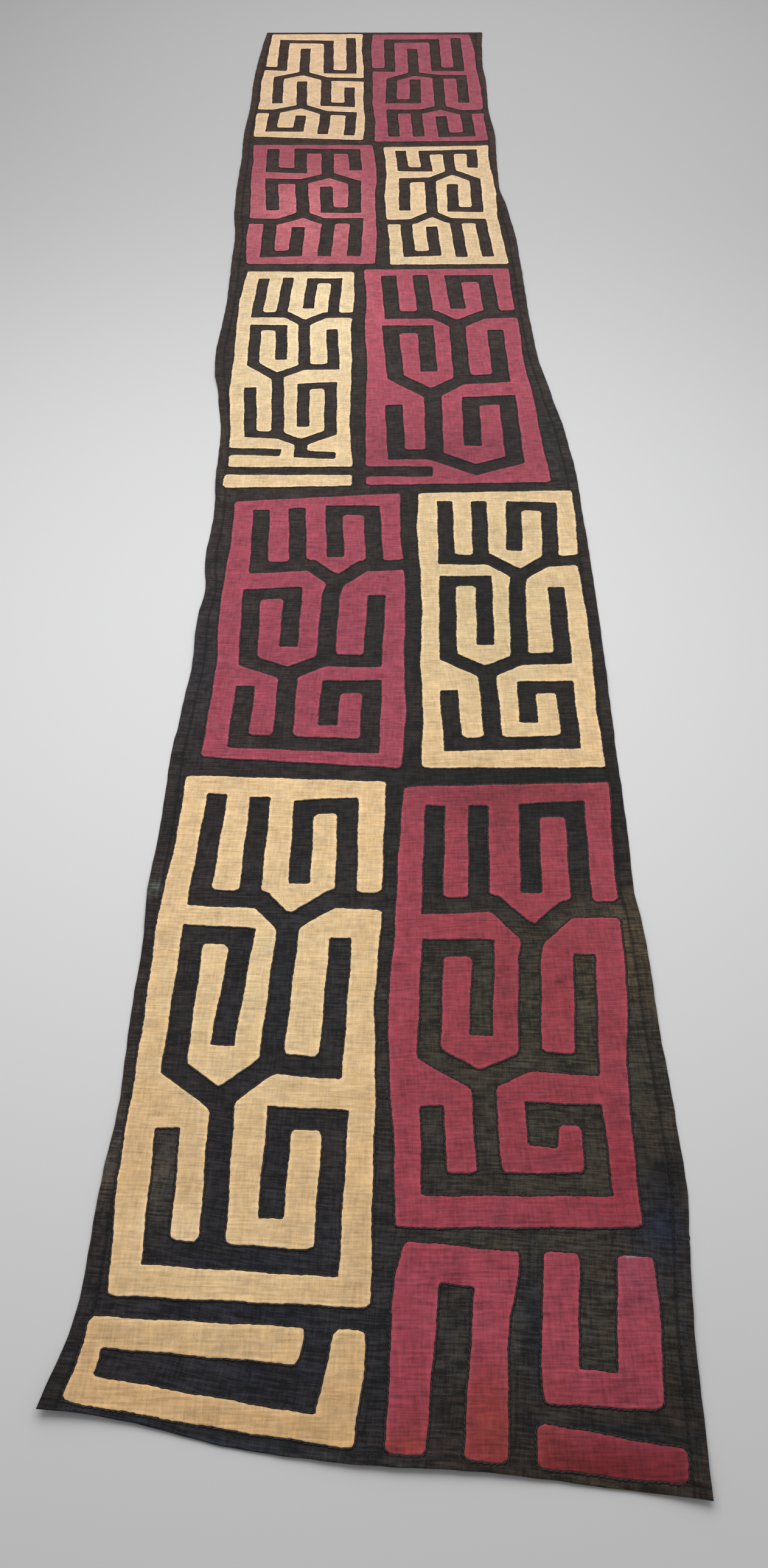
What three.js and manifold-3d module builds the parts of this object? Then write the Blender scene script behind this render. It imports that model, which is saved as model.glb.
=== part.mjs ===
// Kuba raffia cloth, a long wrapper lying flat on its back. Six lengths of black raffia are sewn end to end
// as the ground, and cream and crimson raffia panels, cut through with key channels, are sewn on top.
// Millimetres, +Z up, length along +Y, origin under the middle of the cloth.

import * as THREE from 'three';
import { mergeVertices } from 'three/addons/utils/BufferGeometryUtils.js';
import Module from 'manifold-3d';

const wasm = await Module();
wasm.setup();

// Driving dimensions
const GROUND_THICKNESS = 1.3;
const PANEL_THICKNESS = 1.0;
const LAYER_GAP = 0.3;
const SEAM_GAP = 0.3;
const HEM = { width: 6, slope: 1.5, thickness: 2.2 };
const ROW_STEP = 50;
const KEY_COLUMNS = 9;
const CHANNEL_SHARE = 0.92;
const CUT_MARGIN = 2;
const SIDE_STEPS = 6;

// Waves of the hand-cut edges: how far a point strays, and over what length
const STRAY = [
  { reach: 2.6, length: 310, turn: 0.4 },
  { reach: 1.4, length: 128, turn: 2.1 },
];

// The two long edges, measured along from the near right corner and across from the middle of the near end
const SIDE_EDGES = [
  { along: 0, left: -315, right: 287 },
  { along: 75, left: -315, right: 292 },
  { along: 120, left: -304, right: 293 },
  { along: 160, left: -294, right: 295 },
  { along: 190, left: -291, right: 299 },
  { along: 240, left: -292, right: 305 },
  { along: 285, left: -290, right: 311 },
  { along: 400, left: -283, right: 311 },
  { along: 500, left: -286, right: 309 },
  { along: 610, left: -284, right: 311 },
  { along: 690, left: -289, right: 306 },
  { along: 800, left: -285, right: 311 },
  { along: 920, left: -286, right: 313 },
  { along: 1000, left: -281, right: 315 },
  { along: 1110, left: -274, right: 318 },
  { along: 1210, left: -278, right: 321 },
  { along: 1285, left: -270, right: 322 },
  { along: 1360, left: -280, right: 323 },
  { along: 1480, left: -275, right: 323 },
  { along: 1600, left: -282, right: 325 },
  { along: 1720, left: -284, right: 318 },
  { along: 1850, left: -298, right: 305 },
  { along: 1920, left: -311, right: 297 },
  { along: 2000, left: -318, right: 289 },
  { along: 2200, left: -313, right: 285 },
  { along: 2500, left: -318, right: 284 },
  { along: 2640, left: -330, right: 275 },
  { along: 2760, left: -334, right: 262 },
  { along: 2900, left: -334, right: 265 },
  { along: 3080, left: -340, right: 270 },
  { along: 3230, left: -336, right: 263 },
  { along: 3450, left: -340, right: 267 },
  { along: 3540, left: -338, right: 263 },
  { along: 3700, left: -333, right: 269 },
  { along: 3820, left: -327, right: 276 },
];

// The ends and the sewn joins of the ground, from near to far: where each line meets the left and right edge,
// how far its middle bows towards the near end, and how far even steps of it stray towards the far end
const CROSS_LINES = [
  { left: 72, right: -5, bow: 0, strays: [0, 3, 0.3, -6.3, -9.3, -10, -8.7, -5.3, -0.7, 0.4, 0.6, 1.7, 0] },
  { left: 691, right: 684, bow: 2 },
  { left: 1233, right: 1238, bow: 3 },
  { left: 1920, right: 1926, bow: -2 },
  { left: 2633, right: 2638, bow: 2 },
  { left: 3147, right: 3142, bow: -2 },
  { left: 3815, right: 3820, bow: 0 },
];

const CLOTHS = {
  black: { color: 0x23241f, roughness: 0.92 },
  cream: { color: 0xd9b97c, roughness: 0.9 },
  crimson: { color: 0xa03a4b, roughness: 0.9 },
};

// Stretches of the key repeat, charted in columns from the left and rows from the start. A list is one channel.
const COMB = [
  [[1.5, 1.1], [1.5, 7], [4, 7], [5.3, 8.4]],
  [[3.5, 1.1], [3.5, 7]],
  [[5.5, 6.1], [5.5, 1.6], [7.5, 1.6], [7.5, 7]],
  [[5.3, 8.4], [6.9, 7], [9.5, 7]],
];
const TWIN_HOOKS = [
  [[5.3, 8], [5.3, 15.2]],
  [[3.5, 14.2], [3.5, 9], [1.5, 9], [1.5, 14.9], [3.4, 16.8]],
  [[3.4, 16.8], [5.2, 15.2], [7.5, 15.2], [7.5, 9.1]],
];
const HOOKED_END = [
  [[3.5, 16.4], [3.5, 22.5]],
  [[1.5, 17.7], [1.5, 22.5], [5.5, 22.5], [5.5, 17.7], [7.5, 17.7], [7.5, 22.9]],
];
const FOOTED_END = [
  [[1.5, 18.2], [1.5, 24.2], [3.7, 24.2], [5.2, 25.2]],
  [[3.5, 16.4], [3.5, 24.2]],
  [[5.5, 23.2], [5.5, 17.9], [7.5, 17.9], [7.5, 24], [5.2, 25.2]],
  [[5.2, 24.8], [5.2, 26.5], [7.7, 26.7]],
  [[-0.5, 26.2], [3.8, 26.2]],
];
const ARROW_END = [
  [[1.5, 18], [1.5, 23.5], [3.3, 23.5], [5.4, 25.4], [7.5, 24.4], [7.5, 17.7], [5.5, 17.7], [5.5, 22.9]],
  [[3.5, 16.4], [3.5, 23.5]],
  [[-0.5, 25.3], [3.2, 25.3]],
];
// The key repeat as four cutters drew it: a short comb, long hooks, a lean to the left, and a spiral end
const SHORT_COMB = [
  [[1.5, 1.1], [1.5, 7], [4.2, 7], [5.5, 8.4]],
  [[3.5, 1.1], [3.5, 7]],
  [[5.5, 6.1], [5.5, 1.6], [7.5, 1.6], [7.5, 7]],
  [[5.5, 8.4], [6.9, 7], [9.5, 7]],
  [[5.5, 8.2], [5.3, 9.8], [5.3, 15.6]],
  [[3.5, 14.5], [3.5, 9.6], [1.5, 9.6], [1.5, 15.9], [3.4, 16.8]],
  [[3.4, 16.8], [5.2, 15.6], [7.5, 15.6], [7.5, 9.7]],
  [[3.5, 16.4], [3.5, 22.6]],
  [[1.5, 18.1], [1.5, 22.6], [7.5, 22.6], [7.5, 17.8], [5.5, 17.8], [5.5, 20.9]],
];
const LONG_HOOKS = [
  [[1.5, 1.1], [1.5, 7.1], [4, 7.1], [5.6, 8.4]],
  [[3.5, 1.1], [3.5, 7.1]],
  [[5.5, 6.1], [5.5, 1.6], [7.5, 1.6], [7.5, 7.2]],
  [[5.6, 8.4], [7.1, 7.3], [9.5, 7.1]],
  [[5.6, 8.2], [5.3, 9.8], [5.3, 15.8]],
  [[3.5, 14.6], [3.5, 9.1], [1.5, 9.1], [1.5, 15.6], [3.4, 16.8]],
  [[3.4, 16.8], [5.2, 15.8], [7.5, 15.8], [7.5, 9.7]],
  [[3.5, 16.4], [3.5, 22.3]],
  [[1.5, 18.3], [1.5, 22.3], [7.5, 22.3], [7.5, 18.1], [5.5, 18.1], [5.5, 20.8]],
];
const LEANING = [
  ...COMB,
  [[5.3, 8], [4.95, 15.2]],
  [[3.05, 14.3], [3.6, 8.95], [1.55, 8.95], [1.32, 15.4], [3.2, 16.8]],
  [[3.2, 16.8], [4.9, 15.2], [7.3, 15.2], [7.5, 8.95]],
  [[3.3, 16.4], [3.5, 22.5]],
  [[1.5, 17.9], [1.5, 22.5], [7.5, 22.5], [7.5, 17.4], [5.5, 17.4], [5.5, 21.2]],
];
const SPIRAL = [
  [[1.5, 1.1], [1.5, 6.5], [4, 6.6], [5.55, 8.4]],
  [[3.3, 1.1], [3.4, 6.6]],
  [[5.5, 6.1], [5.5, 1.6], [7.5, 1.6], [7.5, 7]],
  [[5.55, 8.4], [6.9, 7], [9.5, 7]],
  [[5.55, 8.2], [5.3, 9.8], [5.3, 15.8]],
  [[3.5, 14.2], [3.5, 8.9], [1.5, 8.6], [1.5, 15.1], [3.4, 16.8]],
  [[3.4, 16.8], [5.2, 15.8], [7.5, 15.8], [7.5, 9.3]],
  [[3.5, 16.4], [3.5, 22]],
  [[1.5, 18], [1.5, 22], [7.5, 22], [7.5, 18.5], [5.5, 18.5], [5.5, 19.6], [6.2, 19.6]],
];
const TWO_ARCHES = [
  [[3.6, 4], [3.6, 11.1]],
  [[-0.5, 9.9], [1.5, 9.9], [1.5, 2.2], [5.7, 2.2], [5.7, 10.6], [7.8, 10.6], [7.8, 1]],
  [[1.5, 19.1], [1.5, 12.3], [3.6, 11], [5.6, 12.6], [9.5, 12.6]],
  [[5.7, 12.6], [5.7, 19.1], [7.8, 19.1], [7.8, 14.6]],
  [[3.6, 13.2], [3.6, 19.7]],
  [[-0.5, 21.2], [1.5, 21.2], [3.6, 19.7], [5.7, 21.3], [7.8, 21.3], [7.8, 26.3]],
  [[5.7, 21.3], [5.7, 26.3]],
  [[1.5, 21.2], [1.5, 25.6], [3.7, 25.6], [3.7, 22.2]],
];
const ARCH_AND_HOOKS = [
  [[3.5, 3.9], [3.5, 10.8]],
  [[-0.5, 9.6], [1.5, 9.6], [1.5, 1.8], [5.5, 1.8], [5.5, 9.6], [7.5, 9.6], [7.5, 1]],
  [[3.5, 12.3], [3.5, 17.7], [1.5, 17.7], [1.5, 12.1], [3.5, 10.8], [5.3, 11.5], [7.5, 11.5], [7.5, 18]],
  [[5.5, 11.5], [5.5, 19.1]],
  [[1.5, 25.9], [1.5, 20.2], [4, 20.2], [5.5, 19.1], [7, 20.2], [9.5, 20.2]],
  [[3.5, 20.2], [3.5, 25.9]],
  [[7.5, 20.2], [7.5, 25.4], [5.5, 25.4], [5.5, 21.2]],
];

// A chart's marks are the rows where its channels fork, between its first row and its last
const CHARTS = {
  shortCombKey: { marks: [0, 8.4, 16.8, 24], channels: SHORT_COMB },
  longHookKey: { marks: [0, 8.4, 16.8, 24], channels: LONG_HOOKS },
  leaningKey: { marks: [0, 8.4, 16.8, 24], channels: LEANING },
  spiralKey: { marks: [0, 8.4, 16.8, 24], channels: SPIRAL },
  turnedKey: { marks: [0, 8.4, 16.8, 24], channels: [...COMB, ...TWIN_HOOKS, ...HOOKED_END], turned: true },
  footedKey: { marks: [0, 8.4, 16.8, 25.2, 28], channels: [...COMB, ...TWIN_HOOKS, ...FOOTED_END] },
  arrowKey: { marks: [0, 8.4, 16.8, 25.4, 26.5], channels: [...COMB, ...TWIN_HOOKS, ...ARROW_END] },
  archedKey: { marks: [0, 11, 19.7, 27.4], channels: TWO_ARCHES },
  mixedKey: { marks: [0, 10.8, 19.1, 27], channels: ARCH_AND_HOOKS },
  ring: {
    marks: [0, 3.4],
    channels: [[[0.63, 1.7], [7.7, 2.05]], [[0.63, 1.7], [7.3, 1.5]], [[7.55, -0.5], [7.26, 2.45]]],
  },
  arch: { marks: [0, 5.4], channels: [[[1.56, 1.1], [1.43, 6]]], columns: 3 },
  cup: { marks: [0, 4], channels: [[[1.47, -0.5], [1.38, 3.08]], [[1.56, -0.5], [1.46, 3.08]]], columns: 3 },
  bar: { marks: [0, 1], channels: [] },
};

// The sewn-on panels: corners as across and along, the places along where the channels fork, and how far the
// middles of the left and right sides bow to the right
const PANELS = [
  { name: 'row1_left_cream', cloth: 'cream', chart: 'archedKey', forks: [3498, 3262], bow: [-5, 2],
    far: [[-310, 3799], [-60, 3800]], near: [[-316, 3067], [-47, 3045]] },
  { name: 'row1_right_crimson', cloth: 'crimson', chart: 'mixedKey', forks: [3492, 3257], bow: [-2, 4],
    far: [[-33, 3797], [243, 3800]], near: [[-20, 3033], [251, 3035]] },
  { name: 'row2_left_crimson', cloth: 'crimson', chart: 'turnedKey', forks: [2630, 2841], bow: [3, 2],
    far: [[-314, 3015], [-23, 3011]], near: [[-288, 2384], [-15, 2388]] },
  { name: 'row2_right_cream', cloth: 'cream', chart: 'turnedKey', forks: [2631, 2854], bow: [-4, -4],
    far: [[3, 2999], [250, 3005]], near: [[16, 2381], [260, 2387]] },
  { name: 'row3_left_cream', cloth: 'cream', chart: 'footedKey', forks: [2123, 1921, 1699], bow: [-10, -3],
    far: [[-282, 2350], [-60, 2349]], near: [[-264, 1620], [-54, 1621]] },
  { name: 'row3_left_cream_bar', cloth: 'cream', chart: 'bar', forks: [], bow: [0, 0],
    far: [[-264, 1597], [-54, 1596]], near: [[-264, 1559], [-54, 1565]] },
  { name: 'row3_right_crimson', cloth: 'crimson', chart: 'arrowKey', forks: [2121, 1862, 1611], bow: [3, -5],
    far: [[-38, 2361], [259, 2365]], near: [[-31, 1570], [282, 1582]] },
  { name: 'row4_left_crimson', cloth: 'crimson', chart: 'shortCombKey', forks: [1305, 1091], bow: [-2, 8],
    far: [[-242, 1523], [26, 1546]], near: [[-241, 920], [23, 901]] },
  { name: 'row4_right_cream', cloth: 'cream', chart: 'longHookKey', forks: [1326, 1097], bow: [2, 1],
    far: [[57, 1548], [311, 1553]], near: [[50, 901], [293, 903]] },
  { name: 'row5_left_cream', cloth: 'cream', chart: 'leaningKey', forks: [636, 394], bow: [-6, -6],
    far: [[-260, 886], [4, 875]], near: [[-268, 184], [-9.5, 169]] },
  { name: 'row5_right_crimson', cloth: 'crimson', chart: 'spiralKey', forks: [613, 419], bow: [-11, 3],
    far: [[27, 866], [294, 876]], near: [[12, 251], [256, 253]] },
  { name: 'row6_left_cream_ring', cloth: 'cream', chart: 'ring', forks: [], bow: [0, 0],
    far: [[-281, 163], [-17, 147]], near: [[-294, 82], [-28, 38.5]] },
  { name: 'row6_crimson_arch', cloth: 'crimson', chart: 'arch', forks: [], bow: [-4, -3],
    far: [[21, 236], [136.5, 225]], near: [[0, 35], [108, 28.5]] },
  { name: 'row6_crimson_cup', cloth: 'crimson', chart: 'cup', forks: [], bow: [0, 2],
    far: [[158.5, 228], [266, 220]], near: [[148, 82], [259, 70.5]] },
  { name: 'row6_crimson_bar', cloth: 'crimson', chart: 'bar', forks: [], bow: [0, 0],
    far: [[137, 66], [271.5, 35]], near: [[134.5, 26], [265, 5]] },
];

/** Softened step between the rows of the edge table. */
function edgesAt(along) {
  const last = SIDE_EDGES.length - 1;
  const next = Math.min(last, Math.max(1, SIDE_EDGES.findIndex((row) => row.along >= along)));
  const [a, b] = [SIDE_EDGES[next - 1], SIDE_EDGES[next]];
  const share = THREE.MathUtils.smoothstep(along, a.along, b.along);
  return {
    left: THREE.MathUtils.lerp(a.left, b.left, share),
    right: THREE.MathUtils.lerp(a.right, b.right, share),
  };
}

/** Place along the length of a point on a cross line, u running from the left edge to the right one. */
function alongOf({ left, right, bow, strays = [0, 0] }, u) {
  const place = u * (strays.length - 1);
  const step = Math.min(Math.floor(place), strays.length - 2);
  const stray = THREE.MathUtils.lerp(strays[step], strays[step + 1], place - step);
  return THREE.MathUtils.lerp(left, right, u) - 4 * bow * u * (1 - u) + stray;
}

/** A plan point moved as far as a hand-cut edge strays there. */
function handCut([across, along]) {
  const moved = new THREE.Vector2(across, along);
  for (const { reach, length, turn } of STRAY) {
    const wave = (2 * Math.PI) / length;
    moved.x += reach * Math.sin(wave * (along + 0.4 * across) + turn);
    moved.y += reach * Math.sin(wave * (1.3 * across - 0.3 * along) + 2 * turn);
  }
  return moved;
}

/** Height of the ground's face, thicker where the edge is turned over into a hem. */
function groundHeight(inset) {
  const drop = THREE.MathUtils.clamp((inset - HEM.width) / HEM.slope, 0, 1);
  return THREE.MathUtils.lerp(HEM.thickness, GROUND_THICKNESS, drop);
}

/** Steps from 0 to 1 across a span, with extra lines at the foot of each hem. */
function hemmedSteps(span, count, hemAtStart, hemAtEnd) {
  const inner = HEM.width + HEM.slope;
  const steps = Array.from({ length: count + 1 }, (_, i) => i / count);
  if (hemAtStart) steps.splice(1, 0, HEM.width / span, inner / span);
  if (hemAtEnd) steps.splice(steps.length - 1, 0, 1 - inner / span, 1 - HEM.width / span);
  return steps;
}

/** One woven length of the ground between two cross lines, hemmed at its free edges. */
function groundLength(index) {
  const near = CROSS_LINES[index];
  const far = CROSS_LINES[index + 1];
  const first = index === 0;
  const last = index === CROSS_LINES.length - 2;
  const span = (far.left + far.right - near.left - near.right) / 2;
  const width = SIDE_EDGES[0].right - SIDE_EDGES[0].left;
  const columns = hemmedSteps(width, near.strays ? near.strays.length - 1 : 4, true, true);
  const rows = hemmedSteps(span, Math.ceil(span / ROW_STEP), first, last);
  const geometry = new THREE.BoxGeometry(1, 1, 1, columns.length - 1, rows.length - 1, 1);
  const points = geometry.attributes.position;
  for (let i = 0; i < points.count; i += 1) {
    const u = columns[Math.round((points.getX(i) + 0.5) * (columns.length - 1))];
    const v = rows[Math.round((points.getY(i) + 0.5) * (rows.length - 1))];
    const start = alongOf(near, u) + (first ? 0 : SEAM_GAP / 2);
    const end = alongOf(far, u) - (last ? 0 : SEAM_GAP / 2);
    const along = THREE.MathUtils.lerp(start, end, v);
    const edges = edgesAt(along);
    const inset = Math.min(u * width, (1 - u) * width, first ? v * span : width, last ? (1 - v) * span : width);
    const height = points.getZ(i) > 0 ? groundHeight(inset) : 0;
    points.setXYZ(i, THREE.MathUtils.lerp(edges.left, edges.right, u), along, height);
  }
  return geometry;
}

/** Plan point of a chart's column and row on a panel, its rows stretched between the panel's forks. */
function chartPoint(panel, [column, row]) {
  const { marks, turned, columns = KEY_COLUMNS } = CHARTS[panel.chart];
  const middle = (edge) => (edge[0][1] + edge[1][1]) / 2;
  const [start, end] = turned ? [panel.near, panel.far] : [panel.far, panel.near];
  const [left, right] = turned ? [1, 0] : [0, 1];
  const places = [middle(start), ...panel.forks, middle(end)];
  const reached = marks.findIndex((mark) => mark >= row);
  const next = reached < 0 ? marks.length - 1 : Math.max(1, reached);
  const share = (row - marks[next - 1]) / (marks[next] - marks[next - 1]);
  const place = THREE.MathUtils.lerp(places[next - 1], places[next], share);
  const v = (place - places[0]) / (places[places.length - 1] - places[0]);
  const u = column / columns;
  const corner = (edge, side) => new THREE.Vector2(...edge[side]);
  const from = corner(start, left).lerp(corner(start, right), u);
  const to = corner(end, left).lerp(corner(end, right), u);
  const bow = THREE.MathUtils.lerp(panel.bow[left], panel.bow[right], u) * 4 * v * (1 - v);
  const point = from.lerp(to, v);
  return handCut([point.x + bow, point.y]);
}

/** Unit direction from one plan point to another. */
function direction(from, to) {
  return to.clone().sub(from).normalize();
}

/** Outline of a strip of even width along a broken line, mitred at its corners. */
function stripShape(line, width) {
  const rim = { left: [], right: [] };
  line.forEach((point, i) => {
    const last = line.length - 1;
    const into = direction(line[Math.max(0, i - 1)], line[Math.max(1, i)]);
    const outOf = direction(line[Math.min(i, last - 1)], line[Math.min(i + 1, last)]);
    const bisector = into.clone().add(outOf).normalize();
    const reach = width / 2 / bisector.dot(into);
    const side = new THREE.Vector2(-bisector.y, bisector.x).multiplyScalar(reach);
    rim.left.push(point.clone().add(side));
    rim.right.unshift(point.clone().sub(side));
  });
  return new THREE.Shape([...rim.left, ...rim.right]);
}

/** A plan shape made a solid between two heights. */
function slab(shape, low, high) {
  const geometry = new THREE.ExtrudeGeometry(shape, { depth: high - low, bevelEnabled: false });
  geometry.translate(0, 0, low);
  geometry.deleteAttribute('normal');
  geometry.deleteAttribute('uv');
  const merged = mergeVertices(geometry);
  return new wasm.Manifold(new wasm.Mesh({
    numProp: 3,
    vertProperties: new Float32Array(merged.attributes.position.array),
    triVerts: new Uint32Array(merged.index.array),
  }));
}

/** Outline of a panel, its two sides followed in a few steps. */
function panelShape(panel) {
  const { marks, columns = KEY_COLUMNS } = CHARTS[panel.chart];
  const rows = Array.from({ length: SIDE_STEPS + 1 }, (_, i) => (marks[marks.length - 1] * i) / SIDE_STEPS);
  const side = (column) => rows.map((row) => chartPoint(panel, [column, row]));
  return new THREE.Shape([...side(0), ...side(columns).reverse()]);
}

/** A sewn-on panel: a four-sided piece of cloth with its chart's channels cut through. */
function cutPanel(panel) {
  const { channels, columns = KEY_COLUMNS } = CHARTS[panel.chart];
  const low = GROUND_THICKNESS + LAYER_GAP;
  const high = low + PANEL_THICKNESS;
  const width = (panel.far[1][0] - panel.far[0][0] + panel.near[1][0] - panel.near[0][0]) / 2;
  let solid = slab(panelShape(panel), low, high);
  for (const channel of channels) {
    const line = channel.map((point) => chartPoint(panel, point));
    const strip = stripShape(line, (CHANNEL_SHARE * width) / columns);
    solid = solid.subtract(slab(strip, low - CUT_MARGIN, high + CUT_MARGIN));
  }
  const mesh = solid.getMesh();
  const geometry = new THREE.BufferGeometry();
  geometry.setAttribute('position', new THREE.BufferAttribute(mesh.vertProperties, 3));
  geometry.setIndex(new THREE.BufferAttribute(mesh.triVerts, 1));
  return geometry;
}

/** A named piece of one of the three cloths. */
function piece(name, geometry, cloth) {
  const mesh = new THREE.Mesh(geometry, new THREE.MeshStandardMaterial({ ...CLOTHS[cloth], metalness: 0 }));
  mesh.name = name;
  return mesh;
}

const laid = new THREE.Group();
for (let index = 0; index < CROSS_LINES.length - 1; index += 1) {
  laid.add(piece(`ground_${index + 1}`, groundLength(index), 'black'));
}
for (const panel of PANELS) {
  laid.add(piece(panel.name, cutPanel(panel), panel.cloth));
}

const middle = new THREE.Box3().setFromObject(laid).getCenter(new THREE.Vector3());
laid.position.set(-middle.x, -middle.y, 0);

const cloth = new THREE.Group();
cloth.add(laid);

export default cloth;
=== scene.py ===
"""Kuba raffia cloth, dressed for its picture.

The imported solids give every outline. Six black lengths become thin hemmed sheets that lie softly on the
floor, the cream and crimson panels become cut cloth with rounded edges, and the sewing is added stitch by
stitch. Metres, +Z up, length along +Y, the near end at low Y.
"""

import logging
import math
from dataclasses import dataclass
from enum import Enum

import bpy
import numpy as np
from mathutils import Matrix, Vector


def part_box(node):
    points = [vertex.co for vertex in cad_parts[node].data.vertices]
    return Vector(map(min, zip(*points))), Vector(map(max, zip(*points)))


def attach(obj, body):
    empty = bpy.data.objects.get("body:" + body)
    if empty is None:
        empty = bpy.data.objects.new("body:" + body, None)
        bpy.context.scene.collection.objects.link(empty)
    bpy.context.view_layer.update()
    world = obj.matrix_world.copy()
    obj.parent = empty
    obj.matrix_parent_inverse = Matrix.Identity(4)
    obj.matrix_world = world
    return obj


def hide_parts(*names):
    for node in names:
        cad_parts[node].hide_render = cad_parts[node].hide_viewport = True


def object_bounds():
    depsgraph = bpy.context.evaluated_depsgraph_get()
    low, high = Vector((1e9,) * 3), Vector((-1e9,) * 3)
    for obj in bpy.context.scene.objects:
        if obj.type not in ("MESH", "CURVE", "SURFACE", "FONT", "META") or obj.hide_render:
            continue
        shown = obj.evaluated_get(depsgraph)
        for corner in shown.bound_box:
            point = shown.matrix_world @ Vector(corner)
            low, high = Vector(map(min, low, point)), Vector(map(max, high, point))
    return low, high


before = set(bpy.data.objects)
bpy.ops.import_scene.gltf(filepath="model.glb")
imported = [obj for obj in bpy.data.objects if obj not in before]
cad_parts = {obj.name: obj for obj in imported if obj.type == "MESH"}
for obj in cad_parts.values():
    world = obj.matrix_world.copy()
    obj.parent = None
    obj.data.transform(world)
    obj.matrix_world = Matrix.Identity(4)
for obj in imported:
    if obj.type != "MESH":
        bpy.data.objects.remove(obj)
CAD_LOW, CAD_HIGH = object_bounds()

Array = np.ndarray
Colour = tuple[float, float, float]
Socket = bpy.types.NodeSocket
Piece = bpy.types.Object
Material = bpy.types.Material
log = logging.getLogger("raffia_cloth")

MM = 0.001
BODY = "root"
WEAVE_MAP = "weave"
# The vertex colour layer holds the dye together with painted light: a highlight on the panels' rims, shade
# along the hems and sheen towards the far end.
DYE_AND_LIGHT_LAYER = "dye"
WELD_DIGITS = 5
FACE_TOLERANCE = 0.05 * MM
TINY = 1e-9
NOISE_MIDDLE = 0.5

# Share of a pitch looked back and ahead for the direction of a line
LOOK_AHEAD = 0.3

# Thicknesses of the cloths, and the room between a panel and the ground
GROUND_THICKNESS = 1.2 * MM
PANEL_THICKNESS = 1.0 * MM
LAYER_GAP = 0.08 * MM

# Faces of a grid square left of the cutting line. 0 to 3 are its corners, counter-clockwise from low X
# and Y, and 4 to 7 are the points where the line crosses its four sides. The key adds up CORNER_KEYS of
# the corners on the cloth.
FIRST_CROSSING = 4
CORNER_KEYS = (1, 2, 4, 8)
SQUARE_FACES: dict[int, tuple[tuple[int, ...], ...]] = {
    1: ((0, 4, 7),),
    2: ((1, 5, 4),),
    3: ((0, 1, 5, 7),),
    4: ((2, 6, 5),),
    5: ((0, 4, 7), (2, 6, 5)),
    6: ((1, 2, 6, 4),),
    7: ((0, 1, 2, 6, 7),),
    8: ((3, 7, 6),),
    9: ((0, 4, 6, 3),),
    10: ((1, 5, 4), (3, 7, 6)),
    11: ((0, 1, 5, 6, 3),),
    12: ((2, 3, 7, 5),),
    13: ((0, 4, 5, 2, 3),),
    14: ((1, 2, 3, 7, 4),),
    15: ((0, 1, 2, 3),),
}


class Cloth(Enum):
    """The three dyed cloths, by the record's material slots."""

    BLACK = "black_raffia"
    CREAM = "cream_raffia"
    CRIMSON = "crimson_raffia"


def tone(red: float, green: float, blue: float) -> Colour:
    """Linear colour of a tone given as it looks on a screen, 0 to 255, by the sRGB curve's simple power."""
    return ((red / 255) ** 2.2, (green / 255) ** 2.2, (blue / 255) ** 2.2)


def soft_step(low: float, high: float, value: Array) -> Array:
    """0 below low, 1 above high, and the cubic 3t^2 - 2t^3 between them."""
    share = np.clip((value - low) / (high - low), 0.0, 1.0)
    return share * share * (3.0 - 2.0 * share)


def ordered_loops(following: Array) -> list[Array]:
    """Walks closed loops by pointer doubling: the smallest number in a loop names it, then each point counts
    its steps to the loop's end, and sorting by name and count gives the walking order.

    Args:
        following: For each point, the number of the point that follows it.

    Returns:
        The point numbers of each loop in order.
    """
    numbers = np.arange(len(following))
    rounds = math.ceil(math.log2(len(following))) + 1
    name, jump = numbers, following
    for _ in range(rounds):
        name = np.minimum(name, name[jump])
        jump = jump[jump]
    ends = following == name
    steps, jump = np.where(ends, 0, 1), np.where(ends, numbers, following)
    for _ in range(rounds):
        steps = steps + steps[jump]
        jump = jump[jump]
    order = np.lexsort((-steps, name))
    return np.split(order, np.flatnonzero(np.diff(name[order])) + 1)


def line_lengths(line: Array) -> Array:
    """Length from the start of a broken line to each of its points, summed side by side."""
    return np.concatenate([[0.0], np.cumsum(np.linalg.norm(np.diff(line, axis=0), axis=1))])


def line_points(where: Array, lengths: Array, line: Array) -> Array:
    """Plan points at lengths along a broken line, by straight interpolation between its points."""
    return np.stack([np.interp(where, lengths, line[:, axis]) for axis in (0, 1)], axis=-1)


def spaced_line(line: Array, pitch: float, closed: bool) -> tuple[Array, Array]:
    """Even steps along a broken line: places every pitch by length, with the direction from a little before
    each to a little after it.

    Args:
        line: Plan points in order.
        pitch: Wanted distance between places, fitted to a whole number of them.
        closed: Whether the last point joins the first.

    Returns:
        Plan places and unit directions.
    """
    if closed:
        line = np.concatenate([line, line[:1]])
    lengths = line_lengths(line)
    count = max(1, round(lengths[-1] / pitch))
    middles = (np.arange(count) + 0.5) * lengths[-1] / count
    reach = LOOK_AHEAD * lengths[-1] / count
    ahead = line_points(middles + reach, lengths, line) - line_points(middles - reach, lengths, line)
    return line_points(middles, lengths, line), ahead / np.linalg.norm(ahead, axis=1, keepdims=True)


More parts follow.
